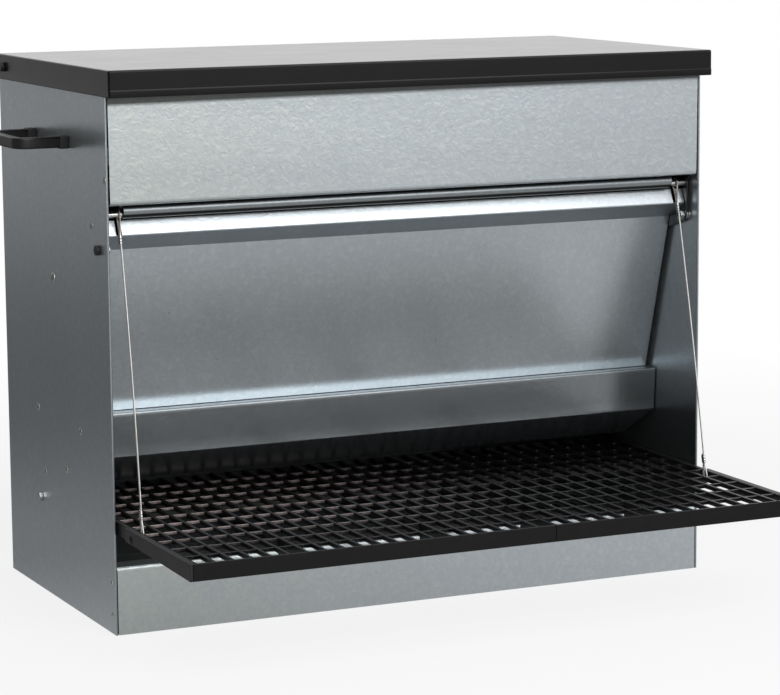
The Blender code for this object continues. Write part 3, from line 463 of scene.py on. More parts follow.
def thickened(piece, offset=0.0):
    """Gives a sheet its thickness."""
    wall = piece.modifiers.new("thickness", "SOLIDIFY")
    wall.thickness = SHEET
    wall.offset = offset
    wall.use_even_offset = True
    return piece


lid_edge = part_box("lid")[0].z


def painted_lid_shadow(finish):
    """A painted shadow of the lid's overhang: a dark band just under the lid's edge, narrower to the right.
    """
    above = finish.axis("Z") - lid_edge - finish.axis("X") * LID_SHADOW_TAPER + LID_SHADOW_HEIGHT
    hidden = (finish.axis("Z") - lid_edge - LID_SHADOW_END) / LID_SHADOW_FADE
    return (above / LID_SHADOW_FADE).limited() * (1 - hidden.limited()) * LID_SHADOW_STRENGTH


front_zinc = zinc("zinc_fronts", ACROSS_GRAIN, soil_and_shade=painted_lid_shadow, tinted=FRONT_TINT)
upper_low, upper_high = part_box("upper_front_panel")
mid, turn_in = SHEET / 2, upper_high.y - FRONT
top, bottom = upper_high.z - mid, upper_low.z + mid
section = bent([(turn_in, top), (mid, top), (mid, bottom), (turn_in, bottom)], PANEL_BEND)
slant = (PANEL_EDGE["bottom"] - PANEL_EDGE["top"]) / (top - bottom)
mesh = sheet_of(
    "front_panel_upper", section, lambda y, z: WALL - PANEL_EDGE["top"] - slant * (top - z)
)
upper_panel = added("front_panel_upper", mesh, "case", ["upper_front_panel"])
dressed(thickened(upper_panel), front_zinc, edge=0)

lower_low, lower_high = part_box("lower_front_panel")
ledge = lower_high.z - mid
ledge_end = lower_high.y - FRONT - mid
corners = [(mid, lower_low.z), (mid, ledge), (ledge_end, ledge), (ledge_end, ledge - LEDGE_HEM)]
section = bent(corners, PANEL_BEND)
mesh = sheet_of("front_panel_lower", section, lambda y, z: WALL - PANEL_EDGE["lower"])
lower_panel = added("front_panel_lower", mesh, "case", ["lower_front_panel"])
dressed(thickened(lower_panel), front_zinc, edge=0)


# Inside: back and base panels, the sloped chute that carries the feed, the tie tube that stiffens the
# walls, and the trough folded from one sheet. Patchy painted shade darkens the back, base, chute and
# tie tube, painted shade darkens the lip's outer face, and grime lies in the joints at the trough's ends.
LIP_FACE = 5 * MM
# Painted shade on the lip's outer face.
LIP_SHADE = 0.52
MASK_GAIN = 2
END_SOIL = 1.6 * MM
TROUGH_SHARPNESS = 0.06
# Patchy painted shade for the dark interior: noise scale, swing and least share.
INTERIOR_SHADE_NOISE = {"scale": 9, "swing": 0.2, "least": 0.75}
BACK_INNER = 0.4 * MM
trough_low, trough_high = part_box("feed_trough")


def lip_shade_and_end_grime(finish):
    """Painted shade on the lip's outer face, and grime in the joints at the trough's ends."""
    face = ((trough_low.y + LIP_FACE - finish.axis("Y")) / LIP_FACE * MASK_GAIN).limited() * LIP_SHADE
    depth = finish.axis("X").absolute() - (trough_high.x - END_SOIL)
    return face.math("MAXIMUM", face, (depth / END_SOIL * MASK_GAIN).limited())


def interior_shade(finish):
    """Patchy painted shade over the whole sheet, for the dark interior."""
    return (finish.noise(INTERIOR_SHADE_NOISE["scale"], 3) * INTERIOR_SHADE_NOISE["swing"] + INTERIOR_SHADE_NOISE["least"]).limited()


shaded_inside_zinc = zinc("zinc_inside_shaded", ACROSS_GRAIN, soil_and_shade=interior_shade)
trough_zinc = zinc("zinc_trough", ACROSS_GRAIN, sharpness=TROUGH_SHARPNESS, soil_and_shade=lip_shade_and_end_grime)
back_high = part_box("back_panel")[1]


def back_inner_shade(finish):
    """The interior's painted shade on the back panel's inner face only."""
    return interior_shade(finish) * ((back_high.y - BACK_INNER - finish.axis("Y")) / SHARP_FADE).limited()


dressed(nodes["back_panel"], zinc("zinc_back", UPRIGHT_GRAIN, soil_and_shade=back_inner_shade))
for name in ("base_panel", "hopper_chute", "hopper_tie_tube"):
    dressed(nodes[name], shaded_inside_zinc)
dressed(nodes["feed_trough"], trough_zinc, edge=0.3 * MM)


# Flap: a sheet rolled round a steel rod along its top, folded to a brow and a dark underside strip, then
# straight down to its foot on the trough's ledge. Its ends turn back, and an ear plate carries each end.
ROLL_RADIUS = 7.4 * MM
ROLL_LIFT = Vector((0.8, 3)) * MM
ROLL_SWEEP = 300
ROLL_STEPS = 26
BROW = Vector((5, -7)) * MM
NOSE = Vector((-2, -22.4)) * MM
KNEE = Vector((32, -40)) * MM
FOOT = Vector((85, -220.2)) * MM
FLAP_BEND = 1.8 * MM
FLAP_TAB = 9 * MM
BARE_END = 25 * MM
SLOT_WIDTH = 6.5 * MM
SLOT_BOTTOM = -21.8 * MM
SLOTTED = (1, 3)
NECK = (2, 3)
TAB_START = 5 * MM
TAB_TAPER = 4 * MM
# Painted shade under the roll and along its top, and a darkening of the whole roll.
UNDER_ROLL_SHADE = {"top": 0.5 * MM, "fade": 1.5 * MM, "bottom": -7.2 * MM, "edge": 0.5 * MM}
ROLL_SHADE = {"start": 5.0 * MM, "fade": 3.0 * MM, "share": 0.35}
ROLL_DARKENING = 0.5


def middle(name):
    """The middle of a node's box."""
    low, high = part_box(name)
    return (low + high) / 2


rod = Vector((middle("flap_rod").y - FRONT, middle("flap_rod").z))
flap_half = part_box("flap_panel")[1].x - mid
to_brow = BROW - ROLL_LIFT
leave = math.atan2(to_brow.y, to_brow.x) + math.acos(ROLL_RADIUS / to_brow.length)
turns = [leave + math.radians(ROLL_SWEEP) * (1 - step / ROLL_STEPS) for step in range(ROLL_STEPS + 1)]
roll = [rod + ROLL_LIFT + ROLL_RADIUS * Vector((math.cos(turn), math.sin(turn))) for turn in turns]
line = roll[:-1] + bent([roll[-1], rod + BROW, rod + NOSE, rod + KNEE, rod + FOOT], FLAP_BEND)
roll_half = WALL - BARE_END
columns = [-flap_half]
for word in SIDES:
    rope_x = middle("upper_ferrule_" + word).x
    columns += [rope_x - SLOT_WIDTH / 2, rope_x + SLOT_WIDTH / 2]
columns.append(flap_half)
brow_top = (rod + BROW).y
slot_end = rod.y + SLOT_BOTTOM
rolled = [(y, z) for y, z in line if z > brow_top]
below = [(y, z) for y, z in line if z <= brow_top]
shape = bmesh.new()
roll_rows = [[shape.verts.new((side * roll_half, FRONT + y, z)) for side in (-1, 1)] for y, z in rolled]
for (a, b), (c, d) in zip(roll_rows, roll_rows[1:]):
    shape.faces.new((a, b, d, c))
sheet_rows = [[shape.verts.new((x, FRONT + y, z)) for x in columns] for y, z in below]
for (upper, lower), (y, z) in zip(zip(sheet_rows, sheet_rows[1:]), below):
    for index in range(len(columns) - 1):
        if index in SLOTTED and z > slot_end:
            continue
        shape.faces.new((upper[index], upper[index + 1], lower[index + 1], lower[index]))
neck = [sheet_rows[0][column] for column in NECK]
shape.faces.new((roll_rows[-1][0], roll_rows[-1][1], neck[1], neck[0]))
slope = (FOOT - KNEE).normalized()
turned_back = Vector((-slope.y, slope.x)) * FLAP_TAB
start, end = rod + KNEE + slope * TAB_START, rod + FOOT
corners = [start, end, end + turned_back - slope * TAB_TAPER, start + turned_back + slope * TAB_TAPER]
for side in (-1, 1):
    shape.faces.new([shape.verts.new((side * flap_half, FRONT + y, z)) for y, z in corners])
flap = added("flap_sheet", finished("flap_sheet", shape), "flap", ["flap_panel"])


def painted_roll_shade(finish):
    """Painted shade under the roll where the brow starts and along the roll's top; the whole roll is
    darkened too.
    """
    up = finish.axis("Z") - rod.y
    on_roll = ((up - UNDER_ROLL_SHADE["bottom"]) / UNDER_ROLL_SHADE["edge"]).limited()
    below = ((UNDER_ROLL_SHADE["top"] - up) / UNDER_ROLL_SHADE["fade"]).limited() * (1 - ROLL_DARKENING)
    above = ((up - ROLL_SHADE["start"]) / ROLL_SHADE["fade"]).limited() * ROLL_SHADE["share"]
    return on_roll * (ROLL_DARKENING + below + above)


dressed(thickened(flap), zinc("zinc_flap", UPRIGHT_GRAIN, soil_and_shade=painted_roll_shade), edge=0)
# The ears take the interior's painted shade, which darkens them and hides their highlights.
for word in SIDES:
    dressed(nodes["flap_ear_" + word], shaded_inside_zinc, edge=0)


# Fasteners and rod: zinc-plated steel, cut, headed and tumbled, so the edges are soft. Each rivet's head
# is a dome with the dimple that its broken mandrel leaves. Small rivets hold the lower front panel's ends.
PLATING_DARK = (0.50, 0.50, 0.49, 1)
PLATING_LIGHT = (0.68, 0.68, 0.67, 1)
PLATING_GRIME = (0.20, 0.19, 0.18, 1)
SHINE = {"scale": 300, "least": 0.20, "swing": 0.12}
GRIME = {"scale": 90, "start": 0.5, "gain": 3, "share": 0.5, "dulls": 0.3}
RIVET = {"head": 3.9 * MM, "height": 1.3 * MM, "dimple": 1.1 * MM, "shank": 1.6 * MM, "tail": 2.3 * MM}
SCREW = {"head": 5.2 * MM, "height": 2.3 * MM, "dimple": 1.6 * MM, "shank": 2.3 * MM, "tail": 2.3 * MM}
PANEL_RIVET = {
    "head": 3.0 * MM, "height": 1.1 * MM, "dimple": 0.7 * MM, "shank": 1.2 * MM, "tail": 1.8 * MM,
}
PANEL_RIVET_INSET = 10 * MM
PANEL_RIVET_HEIGHTS = {"upper": 54 * MM, "lower": 20 * MM}
PANEL_RIVET_TAIL = {"end": -1.9 * MM, "start": -1.2 * MM}
RIVET_TAIL = 0.9 * MM
HEAD_GAP = 0.3 * MM
HEAD_SUNK = 0.2 * MM
TAIL_FREE = 0.01 * MM
DIMPLE_DEPTH = 0.5 * MM
DIMPLE_FLOOR = 0.8
DOME_STEPS = 6
TURN_STEPS = 24
bright = Finish("bright_steel", Metallic=1.0)
shine = bright.noise(SHINE["scale"], 3)
grime = bright.marks(GRIME["start"], GRIME["gain"], GRIME["scale"], 4, 0.7) * GRIME["share"]
plating = bright.blend(shine, PLATING_DARK, PLATING_LIGHT)
bright.surface(
    Base_Color=bright.blend(grime, plating, PLATING_GRIME),
    Roughness=(SHINE["least"] + shine * SHINE["swing"] + grime * GRIME["dulls"]).limited(),
)


def lathe(name, profile, centre, side):
    """A turned piece on an axis along X. Its profile is (radius, distance out from the wall)."""
    shape = bmesh.new()
    rings = []
    for radius, out in profile:
        ring = []
        for step in range(TURN_STEPS if radius else 1):
            angle = 2 * math.pi * step / TURN_STEPS
            around = Vector((side * out, radius * math.cos(angle), radius * math.sin(angle)))
            ring.append(shape.verts.new(centre + around))
        rings.append(ring)
    for first, second in zip(rings, rings[1:]):
        for index in range(TURN_STEPS):
            after = (index + 1) % TURN_STEPS
            if len(first) == 1:
                shape.faces.new((first[0], second[index], second[after]))
            elif len(second) == 1:
                shape.faces.new((first[index], second[0], first[after]))
            else:
                shape.faces.new((first[index], second[index], second[after], first[after]))
    bmesh.ops.recalc_face_normals(shape, faces=shape.faces)
    return finished(name, shape)


def dome(sizes, inner_end, tail_start):
    """The profile of a domed head with a dimple, a shank and a tail."""
    head, height, dimple = sizes["head"], sizes["height"], sizes["dimple"]
    floor_height = height - DIMPLE_DEPTH
    profile = [(0, floor_height), (dimple * DIMPLE_FLOOR, floor_height), (dimple, height)]
    for step in range(1, DOME_STEPS + 1):
        angle = math.radians(90 / DOME_STEPS * step)
        profile.append((dimple + (head - dimple) * math.sin(angle), height * math.cos(angle)))
    profile += [(head, -HEAD_SUNK), (sizes["shank"], -HEAD_SUNK), (sizes["shank"], tail_start)]
    return profile + [(sizes["tail"], tail_start), (sizes["tail"], inner_end), (0, inner_end)]


for name in list(nodes):
    if name.endswith(("_rivet_left", "_rivet_right")):
        kind, tail = RIVET, RIVET_TAIL
    elif name.startswith("tie_screw"):
        kind, tail = SCREW, 0
    else:
        continue
    side = SIDES[name.rsplit("_", 1)[1]]
    low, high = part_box(name)
    centre = Vector((side * WALL, *middle(name).yz))
    inner_end = kind["height"] + HEAD_GAP - (high.x - low.x)
    profile = dome(kind, inner_end, inner_end + tail - TAIL_FREE)
    mesh = lathe(name + "_dome", profile, centre, side)
    piece = added(name + "_dome", mesh, "case", [name])
    dressed(piece, bright.owner, edge=0)
profile = dome(PANEL_RIVET, PANEL_RIVET_TAIL["end"], PANEL_RIVET_TAIL["start"])
for word, side in SIDES.items():
    for level, height in PANEL_RIVET_HEIGHTS.items():
        name = "panel_rivet_" + level + "_" + word
        centre = Vector((side * WALL, FRONT + PANEL_RIVET_INSET, height))
        piece = added(name, lathe(name, profile, centre, side), "case")
        dressed(piece, bright.owner, edge=0)
for name in nodes:
    if name.startswith(("flap_nut", "treadle_bolt", "treadle_nut", "lid_nut")):
        dressed(nodes[name], bright.owner, edge=0.5 * MM)
    if name.startswith(("flap_bush", "flap_rod")):
        dressed(nodes[name], bright.owner, edge=0.3 * MM)


# Ropes: steel rope 2 mm thick, six strands laid round a core. Each end is turned back into a loop, round
# the flap's rod above and round the treadle's pin below, and held by a crimped ferrule.
ROPE_RADIUS = 1.0 * MM
STRANDS = 6
STRAND_RADIUS = 0.36 * MM
LAY_LENGTH = 13 * MM
POINT_STEP = 1.3 * MM
STRAND_SPACING = 2.3 * MM
LOWER_LEG = {"spacing": 4.6 * MM, "length": 20 * MM}
UPPER_LEG = {"spacing": 3.4 * MM, "length": 22 * MM}
EYE = {"steps": 12, "start": 70, "sweep": 220, "neck": 0.72}
TAIL_REACH = 1.5 * MM
FERRULE = {"length": 9 * MM, "wall": 0.8 * MM, "end": 0.25 * MM, "crimp": 0.35 * MM, "waves": 3}
FERRULE_STEPS = {"along": 12, "round": 8}
ANCHOR = {"radius": 3.0 * MM, "play": 0.3 * MM}
ROD = {"radius": 3.5 * MM, "play": 0.5 * MM}
BOW = 1.2 * MM
BOW_STEPS = 12
ROPE_COLOUR = (0.62, 0.61, 0.59, 1)
RUST_COLOUR = (0.26, 0.15, 0.11, 1)
RUST = {"height": 0.405, "fade": 0.02, "scale": 160, "start": 0.3, "gain": 3, "share": 0.6, "dulls": 0.3}
ROPE_DULLNESS = 0.30
rope_steel = Finish("rope_steel", Metallic=1.0)
rust = ((rope_steel.axis("Z") - RUST["height"]) / RUST["fade"]).limited()
rust = rust * rope_steel.marks(RUST["start"], RUST["gain"], RUST["scale"], 3)
rope_steel.surface(
    Base_Color=rope_steel.blend(rust * RUST["share"], ROPE_COLOUR, RUST_COLOUR),
    Roughness=(ROPE_DULLNESS + rust * RUST["dulls"]).limited(),
)


def smooth_line(points, spacing):
    """Points at even steps along a smooth curve through the given points."""
    fine = []
    padded = [points[0] * 2 - points[1]] + points + [points[-1] * 2 - points[-2]]
    for a, b, c, d in zip(padded, padded[1:], padded[2:], padded[3:]):
        steps = max(2, int((c - b).length / spacing * 2))
        for step in range(steps):
            s = step / steps
            curved = 2 * b + (c - a) * s + (2 * a - 5 * b + 4 * c - d) * s**2
            fine.append(0.5 * (curved + (3 * b - a - 3 * c + d) * s**3))
    fine.append(points[-1])
    even, carried = [fine[0]], 0.0
    for a, b in zip(fine, fine[1:]):
        carried += (b - a).length
        if carried >= spacing:
            even.append(b)
            carried = 0.0
    return even + [fine[-1]]


def laid_rope(name, route):
    """Strands that wind round a core along a route."""
    line = smooth_line(route, POINT_STEP)
    curve = bpy.data.curves.new(name, "CURVE")
    curve.dimensions = "3D"
    curve.bevel_depth = STRAND_RADIUS
    curve.bevel_resolution = 1
    curve.use_fill_caps = True
    tangents = [(b - a).normalized() for a, b in zip(line, line[1:])]
    tangents.append(tangents[-1])
    normal = tangents[0].orthogonal().normalized()
    frames, travelled = [], 0.0
    for index, (point, tangent) in enumerate(zip(line, tangents)):
        normal = (normal - tangent * normal.dot(tangent)).normalized()
        if index:
            travelled += (point - line[index - 1]).length
        frames.append((point, normal, tangent.cross(normal), travelled))
    ring = ROPE_RADIUS - STRAND_RADIUS
    for strand in range(STRANDS + 1):
        spline = curve.splines.new("POLY")
        spline.points.add(len(frames) - 1)
        for knot, (point, first, second, distance) in zip(spline.points, frames):
            angle = 2 * math.pi * (strand / STRANDS + distance / LAY_LENGTH)
            offset = first * math.cos(angle) + second * math.sin(angle)
            knot.co = (*(point + offset * (ring if strand < STRANDS else 0)), 1)
    holder = bpy.data.objects.new(name + "_route", curve)
    bpy.context.scene.collection.objects.link(holder)
    solid_rope = holder.evaluated_get(bpy.context.evaluated_depsgraph_get())
    mesh = bpy.data.meshes.new_from_object(solid_rope)
    bpy.data.objects.remove(holder)
    bpy.data.curves.remove(curve)
    mesh.name = name
    return mesh


def eye(round_what, leg):
    """A loop from one leg round its far side to the other: (along, across) points."""
    radius = round_what["radius"] + ROPE_RADIUS + round_what["play"]
    half = leg["spacing"] / 2
    neck = leg["length"] * EYE["neck"]
    shares = [step / EYE["steps"] for step in range(EYE["steps"] + 1)]
    turns = [math.radians(EYE["start"] + EYE["sweep"] * share) for share in shares]
    points = [(leg["length"], STRAND_SPACING / 2), (neck, half)]
    points += [(radius * math.cos(turn), radius * math.sin(turn)) for turn in turns]
    return points + [(neck, -half), (leg["length"], -STRAND_SPACING / 2)]


def crimped(name, spot, out, start):
    """A flat ferrule round both strands, pinched in along its length."""
    half = STRAND_SPACING / 2
    shape = bmesh.new()
    rings = []
    last = FERRULE_STEPS["along"]
    for station in range(last + 1):
        share = station / last
        pinch = FERRULE["crimp"] * abs(math.sin(FERRULE["waves"] * math.pi * share))
        radius = ROPE_RADIUS + FERRULE["wall"] - (pinch if 0 < station < last else FERRULE["end"])
        around = arc((half, 0), radius, -90, 90, FERRULE_STEPS["round"])
        around += arc((-half, 0), radius, 90, 270, FERRULE_STEPS["round"])
        along = start + FERRULE["length"] * share
        rings.append([shape.verts.new(spot(along, across) + out * depth) for across, depth in around])
    skinned(shape, rings)
    return finished(name, shape)


for word, side in SIDES.items():
    pin = Vector((middle("lower_ferrule_" + word).x, *middle("rope_anchor_" + word).yz))
    top = Vector((middle("upper_ferrule_" + word).x, *middle("flap_rod").yz))
    span = (top - pin).length
    along = (top - pin) / span
    across = along.cross(Vector((1, 0, 0))).normalized()
    out = along.cross(across)

    def spot(u, v, bow=0.0):
        """A point at a distance along the rope, across it, and bowed out of its line."""
        return pin + along * u + across * v - out * bow

    upper_start = span - UPPER_LEG["length"]
    tail = FERRULE["length"] + TAIL_REACH
    route = [spot(LOWER_LEG["length"] + tail, STRAND_SPACING / 2)]
    route += [spot(u, v) for u, v in eye(ANCHOR, LOWER_LEG)]
    straight = span - LOWER_LEG["length"] - UPPER_LEG["length"]
    for step in range(1, BOW_STEPS):
        share = step / BOW_STEPS
        bow = BOW * math.sin(math.pi * share)
        route.append(spot(LOWER_LEG["length"] + straight * share, -STRAND_SPACING / 2, bow))
    route += [spot(span - u, v) for u, v in reversed(eye(ROD, UPPER_LEG))]
    route.append(spot(upper_start - tail, STRAND_SPACING / 2))
    name, body = "steel_rope_" + word, "rope_" + word
    rope = added(name, laid_rope(name, route), body, ["rope_" + word])
    dressed(rope, rope_steel.owner, edge=0)
    for end, start in (("lower", LOWER_LEG["length"]), ("upper", upper_start - FERRULE["length"])):
        name = end + "_crimp_" + word
        mesh = crimped(name, spot, out, start)
        piece = added(name, mesh, body, [end + "_ferrule_" + word])
        dressed(piece, bright.owner, edge=0.2 * MM)


# Treadle steel: arms on the rear pivots, side bars, two rails and the anchor pins, all painted black.
# The paint is satin and slightly dusty. The flap's bolts are black too.
PAINT = {"gloss": 0.35, "dark": (0.012, 0.011, 0.011, 1), "light": (0.026, 0.024, 0.024, 1)}
PAINT_FILM = {"scale": 40, "least": 0.36, "swing": 0.14}
PAINT_GRAIN = {"scale": 500, "strength": 0.2, "depth": 0.08 * MM}
PAINTED_EDGE = 0.4 * MM
SIDE_BAR_DROP = 4 * MM


def black(name, colours, film, grain):
    """A black finish under an uneven film, which lightens and dulls it."""
    finish = Finish(name, Specular_IOR_Level=colours["gloss"])
    share = finish.noise(film["scale"], 4)
    finish.surface(
        Base_Color=finish.blend(share, colours["dark"], colours["light"]),
        Roughness=(film["least"] + share * film["swing"]).limited(),
        Normal=finish.grain(**grain),
    )
    return finish.owner


steel_paint = black("black_painted_steel", PAINT, PAINT_FILM, PAINT_GRAIN)
for word in SIDES:
    low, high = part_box("treadle_side_bar_" + word)
    outline = [(low.y, low.z - SIDE_BAR_DROP), (low.y, high.z), (high.y, high.z), (high.y, low.z)]
    name = "treadle_edge_bar_" + word
    mesh = solid(name, outline, low.x, high.x, lambda y, z, x: Vector((x, y, z)))
    bar = added(name, mesh, "treadle", ["treadle_side_bar_" + word])
    dressed(bar, steel_paint, edge=PAINTED_EDGE)
for name in nodes:
    if name.startswith(("treadle_arm", "treadle_rail", "rope_anchor", "flap_bolt")):
        dressed(nodes[name], steel_paint, edge=PAINTED_EDGE)


# Treadle grating: two black moulded plastic panels that meet at a seam. Their bars have round crowns, the
# long bars stand a little above the cross bars, and a deep rim and ribs below stiffen them.
LONG_BAR = 4.5 * MM
END_BAR = 0.73 * LONG_BAR
CROSS_BAR = 4.0 * MM
CROSS_DROP = 0.9 * MM
CROWN = 1.1 * MM
CROWN_POWER = 3
CROWN_PLACES = (-0.5, -0.42, -0.3, -0.12, 0.12, 0.3, 0.42, 0.5)
BAR_HEIGHT = 4.5 * MM
RIM = {"depth": 3.0 * MM, "height": 18 * MM, "front_drop": 0.2 * MM, "rear_drop": 0.5 * MM}
CELLS = {"left": 20, "right": 14}
ROWS = 11
RIB = {
    "thickness": 3.0 * MM, "lines": (6, 14), "overlap": 0.4 * MM, "seam_gap": 0.2 * MM, "rail_gap": 0.3 * MM,
}
SAME_PLACE = 1e-6
PLASTIC_DARK = (0.0045, 0.004, 0.004, 1)
PLASTIC_SCUFFED = (0.016, 0.014, 0.014, 1)
# A painted highlight: the pale pinkish colour of the glints on the cross bars' crowns.
PLASTIC_GLINT = (0.50, 0.42, 0.40, 1)
TOOTH = {"scale": 900, "strength": 0.25, "depth": 0.05 * MM}
HAZE = {"scale": 22, "least": 0.30, "swing": 0.14}
SCUFF = {"scale": 120, "start": 0.55, "gain": 5, "share": 0.4, "dulls": 0.12}
GLINT = {"depth": 3.4 * MM, "fade": 0.5 * MM, "least": 0.45, "swing": 0.6}
GLINT_BETWEEN = {"start": 0.13, "gain": 30}
GLINT_ON_BAR = {"half": 0.06, "gain": 60}
GLINT_LEFTWARD = {"end": 0.12, "width": 0.40}
GLINT_REARWARD = {"gain": 0.4, "start": 0.6}
panel_low, panel_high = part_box("grating_left")
row_pitch = (panel_high.y - panel_low.y) / ROWS
cell_start = panel_low.x + END_BAR
cell = (panel_high.x - cell_start) / CELLS["left"]

moulded = Finish("black_moulded_plastic", Specular_IOR_Level=0.22)
haze = moulded.noise(HAZE["scale"], 4)
scuff = moulded.marks(SCUFF["start"], SCUFF["gain"], SCUFF["scale"], 4, 0.7)
# Painted highlight: the cross bars' crowns, more to the left and the rear and between the long bars, are
# lightened as glints.
rows_away = (moulded.axis("Y") - panel_low.y) / row_pitch
off_long_bar = (((moulded.axis("X") - cell_start) / cell + 0.5).fraction() - 0.5).absolute()
off_cross_bar = ((rows_away + 0.5).fraction() - 0.5).absolute()
between = ((off_long_bar - GLINT_BETWEEN["start"]) * GLINT_BETWEEN["gain"]).limited()
on_cross_bar = ((GLINT_ON_BAR["half"] - off_cross_bar) * GLINT_ON_BAR["gain"]).limited()
on_crown = ((moulded.axis("Z") - panel_high.z + GLINT["depth"]) / GLINT["fade"]).limited()
leftward = ((GLINT_LEFTWARD["end"] - moulded.axis("X")) / GLINT_LEFTWARD["width"]).limited()
rearward = (rows_away * GLINT_REARWARD["gain"] - GLINT_REARWARD["start"]).limited()
painted_glint = on_cross_bar * on_crown * leftward * rearward * between
painted_glint = painted_glint * (haze * GLINT["swing"] + GLINT["least"]).limited()
plastic = moulded.blend(scuff * SCUFF["share"], PLASTIC_DARK, PLASTIC_SCUFFED)
moulded.surface(
    Base_Color=moulded.blend(painted_glint, plastic, PLASTIC_GLINT),
    Roughness=(HAZE["least"] + haze * HAZE["swing"] + scuff * SCUFF["dulls"]).limited(),
    Normal=moulded.grain(**TOOTH),
)


def boxed(shape, centre, size):
    """Adds a box of a size round its centre."""
    bmesh.ops.create_cube(shape, size=1, matrix=Matrix.Translation(centre) @ Matrix.Diagonal((*size, 1)))


def crowned(lines, bar, low, high):
    """The stations across each bar, with how far each lies below the bar's crown."""
    stations = []
    for line in lines:
        for share in CROWN_PLACES:
            at = line + share * bar
            if low - SAME_PLACE <= at <= high + SAME_PLACE:
                rise = math.sqrt(max(0.0, 1 - (2 * abs(share)) ** CROWN_POWER))
                stations.append((at, CROWN * (1 - rise)))
    return stations


def strips(stations, start, pitch, bar):
    """Whether each strip between two stations lies in a bar."""
    inside = []
    for (first, _), (second, _) in zip(stations, stations[1:]):
        at = (first + second) / 2
        nearest = round((at - start) / pitch) * pitch + start
        inside.append(abs(at - nearest) < bar / 2)
    return inside


def bars(name, xs, ys, bar_x, bar_y, top):
    """Crowned bars both ways, flat below, with the walls of the openings between them."""
    shape = bmesh.new()
    points = {}

    def point(key, upper):
        """The vertex at a pair of stations, on the crown or on the flat underside."""
        if (key, upper) not in points:
            (x, fall_x), (y, fall_y) = xs[key[0]], ys[key[1]]
            crest = max(top - fall_x, top - CROSS_DROP - fall_y)
            points[key, upper] = shape.verts.new((x, y, crest if upper else top - BAR_HEIGHT))
        return points[key, upper]

    alone = {}
    for i, in_x in enumerate(bar_x):
        for j, in_y in enumerate(bar_y):
            if not (in_x or in_y):
                continue
            keys = [(i, j), (i + 1, j), (i + 1, j + 1), (i, j + 1)]
            shape.faces.new([point(key, True) for key in keys])
            shape.faces.new([point(key, False) for key in reversed(keys)])
            for a, b in zip(keys, keys[1:] + keys[:1]):
                alone[a, b] = (b, a) not in alone
                if (b, a) in alone:
                    alone[b, a] = False
    for (a, b), open_edge in alone.items():
        if open_edge:
            shape.faces.new((point(b, True), point(a, True), point(a, False), point(b, False)))
    return finished(name, shape)


def rim_and_ribs(name, low, high, x_low, x_high, rib_lines):
    """The rim at the front and rear, and ribs that stop short of the rails."""
    bottom = high.z - RIM["height"]
    front_inner, rear_inner = low.y + RIM["depth"], high.y - RIM["depth"]
    boxes = [
        ((low.x, low.y, bottom), (high.x, front_inner, high.z - RIM["front_drop"])),
        ((x_low, rear_inner, bottom), (x_high, high.y, high.z - RIM["rear_drop"])),
    ]
    stops = [front_inner]
    for place in ("front", "rear"):
        rail_low, rail_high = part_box("treadle_rail_" + place)
        stops += [rail_low.y - RIB["rail_gap"], rail_high.y + RIB["rail_gap"]]
    stops.append(rear_inner)
    half, rib_top = RIB["thickness"] / 2, high.z - BAR_HEIGHT + RIB["overlap"]
    for line in rib_lines:
        for start, end in zip(stops[::2], stops[1::2]):
            boxes.append(((line - half, start, bottom), (line + half, end, rib_top)))
    shape = bmesh.new()
    for corner_low, corner_high in boxes:
        size = Vector(corner_high) - Vector(corner_low)
        boxed(shape, (Vector(corner_high) + Vector(corner_low)) / 2, size)
    return finished(name, shape)


for word, cells in CELLS.items():
    low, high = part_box("grating_" + word)
    x_low, x_high = (low.x + END_BAR, high.x) if word == "left" else (low.x, high.x - END_BAR)
    pitch, row = (x_high - x_low) / cells, (high.y - low.y) / ROWS
    xs = crowned([x_low + pitch * index for index in range(cells + 1)], LONG_BAR, x_low, x_high)
    ys = crowned([low.y + row * index for index in range(ROWS + 1)], CROSS_BAR, low.y, high.y)
    bar_x, bar_y = strips(xs, x_low, pitch, LONG_BAR), strips(ys, low.y, row, CROSS_BAR)
    name = "treadle_grating_" + word
    mesh = bars(name, xs, ys, bar_x, bar_y, high.z)
    panel = added(name, mesh, "treadle", ["grating_" + word])
    dressed(panel, moulded.owner, edge=0)
    seam_rib = RIB["thickness"] / 2 + RIB["seam_gap"]
    rib_lines = [x_low + pitch * line for line in RIB["lines"] if line < cells]
    rib_lines.append(x_high - seam_rib if word == "left" else x_low + seam_rib)
    mesh = rim_and_ribs(name + "_rim", low, high, x_low, x_high, rib_lines)
    rim = added(name + "_rim", mesh, "treadle")
    dressed(rim, moulded.owner, edge=0.6 * MM)


# Lid: one steel sheet with soft folds and a skirt all round, its front edge doubled inwards. That hem's
# band stands a little proud. The lid is powder coated black, and two bolts near the back carry it.
LID_BEND = 2.2 * MM
LID_BEND_STEPS = 6
LID_CORNER = 2.5 * MM
LID_CORNER_STEPS = 5
LID_INLAY = 24 * MM
HEM_HEIGHT = 7 * MM
HEM_STEP = -0.6 * MM
HEM_ROUND = 1.1 * MM
HEM_SLOPE = {0.0: 0.9 * MM, 0.15: 0.5 * MM, 0.85: 0.0, 1.0: -0.5 * MM}
REAR_FOLD_REACH = 12 * MM
REAR_FOLD_DROP = 0.1 * MM
REAR_FOLD_GAP = 1.6 * MM
SAME_POINT = 0.02 * MM
COAT_DARK = (0.0035, 0.003, 0.003, 1)
COAT_DUSTY = (0.010, 0.0085, 0.008, 1)
COAT_GLOSS = {"Specular_IOR_Level": 0.12, "Coat_Roughness": 0.16, "Coat_Weight": 0.5, "Coat_IOR": 1.28}
PEEL = {"scale": 420, "strength": 0.22, "depth": 0.10 * MM}
LID_DUST = {"scale": 14, "share": 0.5, "least": 0.26, "swing": 0.10}
SPECKS = {"scale": 700, "start": 0.66, "gain": 8, "share": 0.4}
